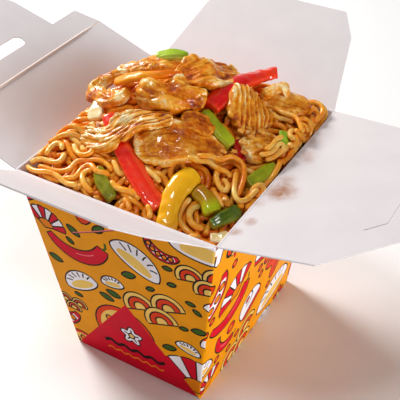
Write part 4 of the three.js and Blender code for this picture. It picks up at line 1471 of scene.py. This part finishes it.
def all_strands(draw):
    """First points of every strand, with its layer, its points' ease and its ceiling."""
    strands = []
    for routes, lift in ((LOOSE_STRANDS, LOOSE_LIFT), (OVER_STRANDS, OVER_LIFT)):
        for route in routes:
            path = smooth_path([(x, y, heap_height(x, y) + lift) for x, y in route], SEGMENT)
            strands.append((path, len(STRANDS), LOOSE_EASE, lift + 1.0))
    for level, (number, height, *span) in enumerate(STRANDS):
        for _ in range(number):
            path = strand_walk(draw, draw.uniform(*span))
            wave = np.arange(len(path)) * SEGMENT * TURN / draw.uniform(12, 24) + draw.uniform(0, 6)
            z = heap_height(path[:, 0], path[:, 1]) + height + 0.5 * np.sin(wave)
            strands.append((np.column_stack([path, z]), level, 1.0, CEILING))
    return strands


def smoothed(path, times=2):
    for _ in range(times):
        middle = (path[:-2] + 2 * path[1:-1] + path[2:]) / 4
        path = np.concatenate([path[:1], middle, path[-1:]])
    return path


def noodle_heap():
    """The loose strands, settled, as one mesh."""
    draw = np.random.default_rng(11)
    paths, layer, ease, ceiling = zip(*all_strands(draw))
    lengths = [len(path) for path in paths]
    points = np.concatenate(paths)
    strand = np.repeat(np.arange(len(paths)), lengths)
    settle(points, strand, np.repeat(ease, lengths)[:, None], np.repeat(ceiling, lengths))
    paths, tones, radii = [], [], []
    over = range(len(LOOSE_STRANDS), len(LOOSE_STRANDS) + len(OVER_STRANDS))
    for number, level in enumerate(layer):
        paths.append(smooth_path(smoothed(points[strand == number]), 1.0))
        # Lower layers darker as painted shade deep in the heap, the loose strands on top lightest, and a
        # random tone for each strand.
        tones.append(0.25 + 0.13 * level + draw.uniform(-0.12, 0.16))
        radii.append(NOODLE_RADIUS * (0.84 if number in over else draw.uniform(0.86, 1.04)))
    heap = tubes("noodle_strands", paths, tones, radii, noodle_finish())
    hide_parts("noodles")
    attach(heap, "box")


# ---------------------------------------------------------------- crumbs
# Crumbs of egg and chicken: x, y, lift over the heap and size.
CRUMBS = (
    (31.2, -43.2, 4.6, 2.0), (29.6, -47.2, 3.0, 1.2), (33.8, -24.6, 5.4, 1.1), (-8.4, -48.6, 3.0, 1.2),
    (27, 6, 7.2, 1.2), (29.5, 3.4, 7.0, 1.4), (31.6, 8.5, 7.4, 1.3), (33.4, 2.0, 6.6, 1.5),
    (28.2, -1.0, 6.6, 1.3), (35.6, 6.6, 6.4, 1.2), (30.6, -3.6, 6.0, 1.2), (25.6, 2.2, 7.6, 1.3),
    (36.4, 11.0, 6.0, 1.3), (-30, -5, 4.6, 1.8), (-33, -4, 4.4, 1.6), (24.4, -9.4, 6.2, 1.1),
    (27.4, -6.4, 6.0, 1.2), (-24.6, -27.4, 5.0, 1.1), (6, -42, 4.0, 1.0),
)
CRUMB_SHAPE = (1.2, 0.9, 0.6)
CRUMB_SEED = 700


def crumbs():
    """Ragged little lumps lying on the food, as one mesh."""
    sides, rings = 10, 7
    turn = np.linspace(0, TURN, sides, endpoint=False)
    rise = np.linspace(-1.4, 1.4, rings)
    ball = np.stack([np.outer(np.cos(rise), np.cos(turn)), np.outer(np.cos(rise), np.sin(turn)),
                     np.outer(np.sin(rise), np.ones(sides))], -1).reshape(-1, 3)
    ball = np.concatenate([ball, [(0, 0, -1), (0, 0, 1)]])
    vertices, faces = [], []
    for k, (x, y, lift, size) in enumerate(CRUMBS):
        lump = ball * size * (1 + 0.22 * waves(ball * size, 1.6, CRUMB_SEED + k))[:, None]
        vertices.append(lump * CRUMB_SHAPE + (x, y, mound_height(x, y) + lift))
        faces += [[i + k * len(ball) for i in f] for f in sleeve_faces(rings, sides)]
    vertices = np.concatenate(vertices)
    none = np.zeros(len(vertices))
    piece = mesh_piece("crumbs", vertices, faces, [food_finish("crumb")],
                       tone=none + 0.6, rim=none, run=none, grain=vertices * MM)
    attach(piece, "box")


# ---------------------------------------------------------------- camera, floor and light
def photo_camera():
    """The camera that was fitted to the photo."""
    azimuth, elevation, roll = (math.radians(CAMERA[key]) for key in ("azimuth", "elevation", "roll"))
    back = np.array([math.sin(azimuth) * math.cos(elevation), -math.cos(azimuth) * math.cos(elevation),
                     math.sin(elevation)])
    right = unit(np.cross(-back, [0, 0, 1]))
    down = np.cross(-back, right)
    c, s = math.cos(roll), math.sin(roll)
    right, down = c * right + s * down, -s * right + c * down
    data = bpy.data.cameras.new("camera")
    data.sensor_width = SENSOR
    data.lens = CAMERA["focal_px"] / CAMERA["frame_px"] * SENSOR
    data.clip_start = 0.01
    camera = bpy.data.objects.new("camera", data)
    place = np.array(CAMERA["place"]) * MM
    camera.matrix_world = Matrix([[right[i], -down[i], back[i], place[i]] for i in range(3)] + [[0, 0, 0, 1]])
    bpy.context.scene.collection.objects.link(camera)
    bpy.context.scene.camera = camera


# Place, target and diameter in metres, power in watts and colour.
LIGHTS = {
    "key": ((-0.78, 0.24, 0.66), (0, 0, 0.1), 0.4, 11.5, (1, 0.99, 0.975)),
    "top": ((0.06, -0.26, 1.0), (0, 0, 0.1), 0.2, 2.2, (1, 1, 1)),
    "low": ((0.9, -0.1, 0.07), (0, 0, 0.06), 0.4, 7.2, (1, 1, 1)),
}
FLOOR_REACH = 30000
FLOOR_LEVEL = -0.1


def area_light(name, place, target, size, power, colour):
    data = bpy.data.lights.new(name, "AREA")
    data.shape = "DISK"
    data.size = size
    data.energy = power
    data.color = colour
    light = bpy.data.objects.new(name, data)
    light.location = place
    light.rotation_euler = (Vector(target) - Vector(place)).to_track_quat("-Z", "Y").to_euler()
    bpy.context.scene.collection.objects.link(light)


def studio():
    """A pale floor, three soft lights and a dim white surround."""
    signs = ((-1, -1), (1, -1), (1, 1), (-1, 1))
    corners = [(x * FLOOR_REACH, y * FLOOR_REACH, FLOOR_LEVEL) for x, y in signs]
    pale = Finish("floor", Roughness=0.8, Base_Color=srgb(250, 250, 250))
    mesh_piece("floor", corners, [(0, 1, 2, 3)], [pale.material])
    world = bpy.data.worlds.new("studio")
    world.use_nodes = True
    background = world.node_tree.nodes["Background"]
    background.inputs["Color"].default_value = (1.0, 0.99, 0.98, 1)
    background.inputs["Strength"].default_value = 0.17
    bpy.context.scene.world = world
    for name, light in LIGHTS.items():
        area_light(name, *light)
    bpy.context.scene.view_settings.view_transform = "Standard"


# ---------------------------------------------------------------- assembly
TOPPING_SEED, SEED_STEP = 100, 10

photo_camera()
studio()
carton_shell()
for piece in carton_print():
    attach(piece, "box")
build_flaps()
for side in LEAN:
    rim_crease(side)
handle_crease()
for number, (name, piece) in enumerate(TOPPINGS.items()):
    slab(name, piece, TOPPING_SEED + SEED_STEP * number)
noodle_core()
noodle_heap()
crumbs()

bpy.context.view_layer.update()
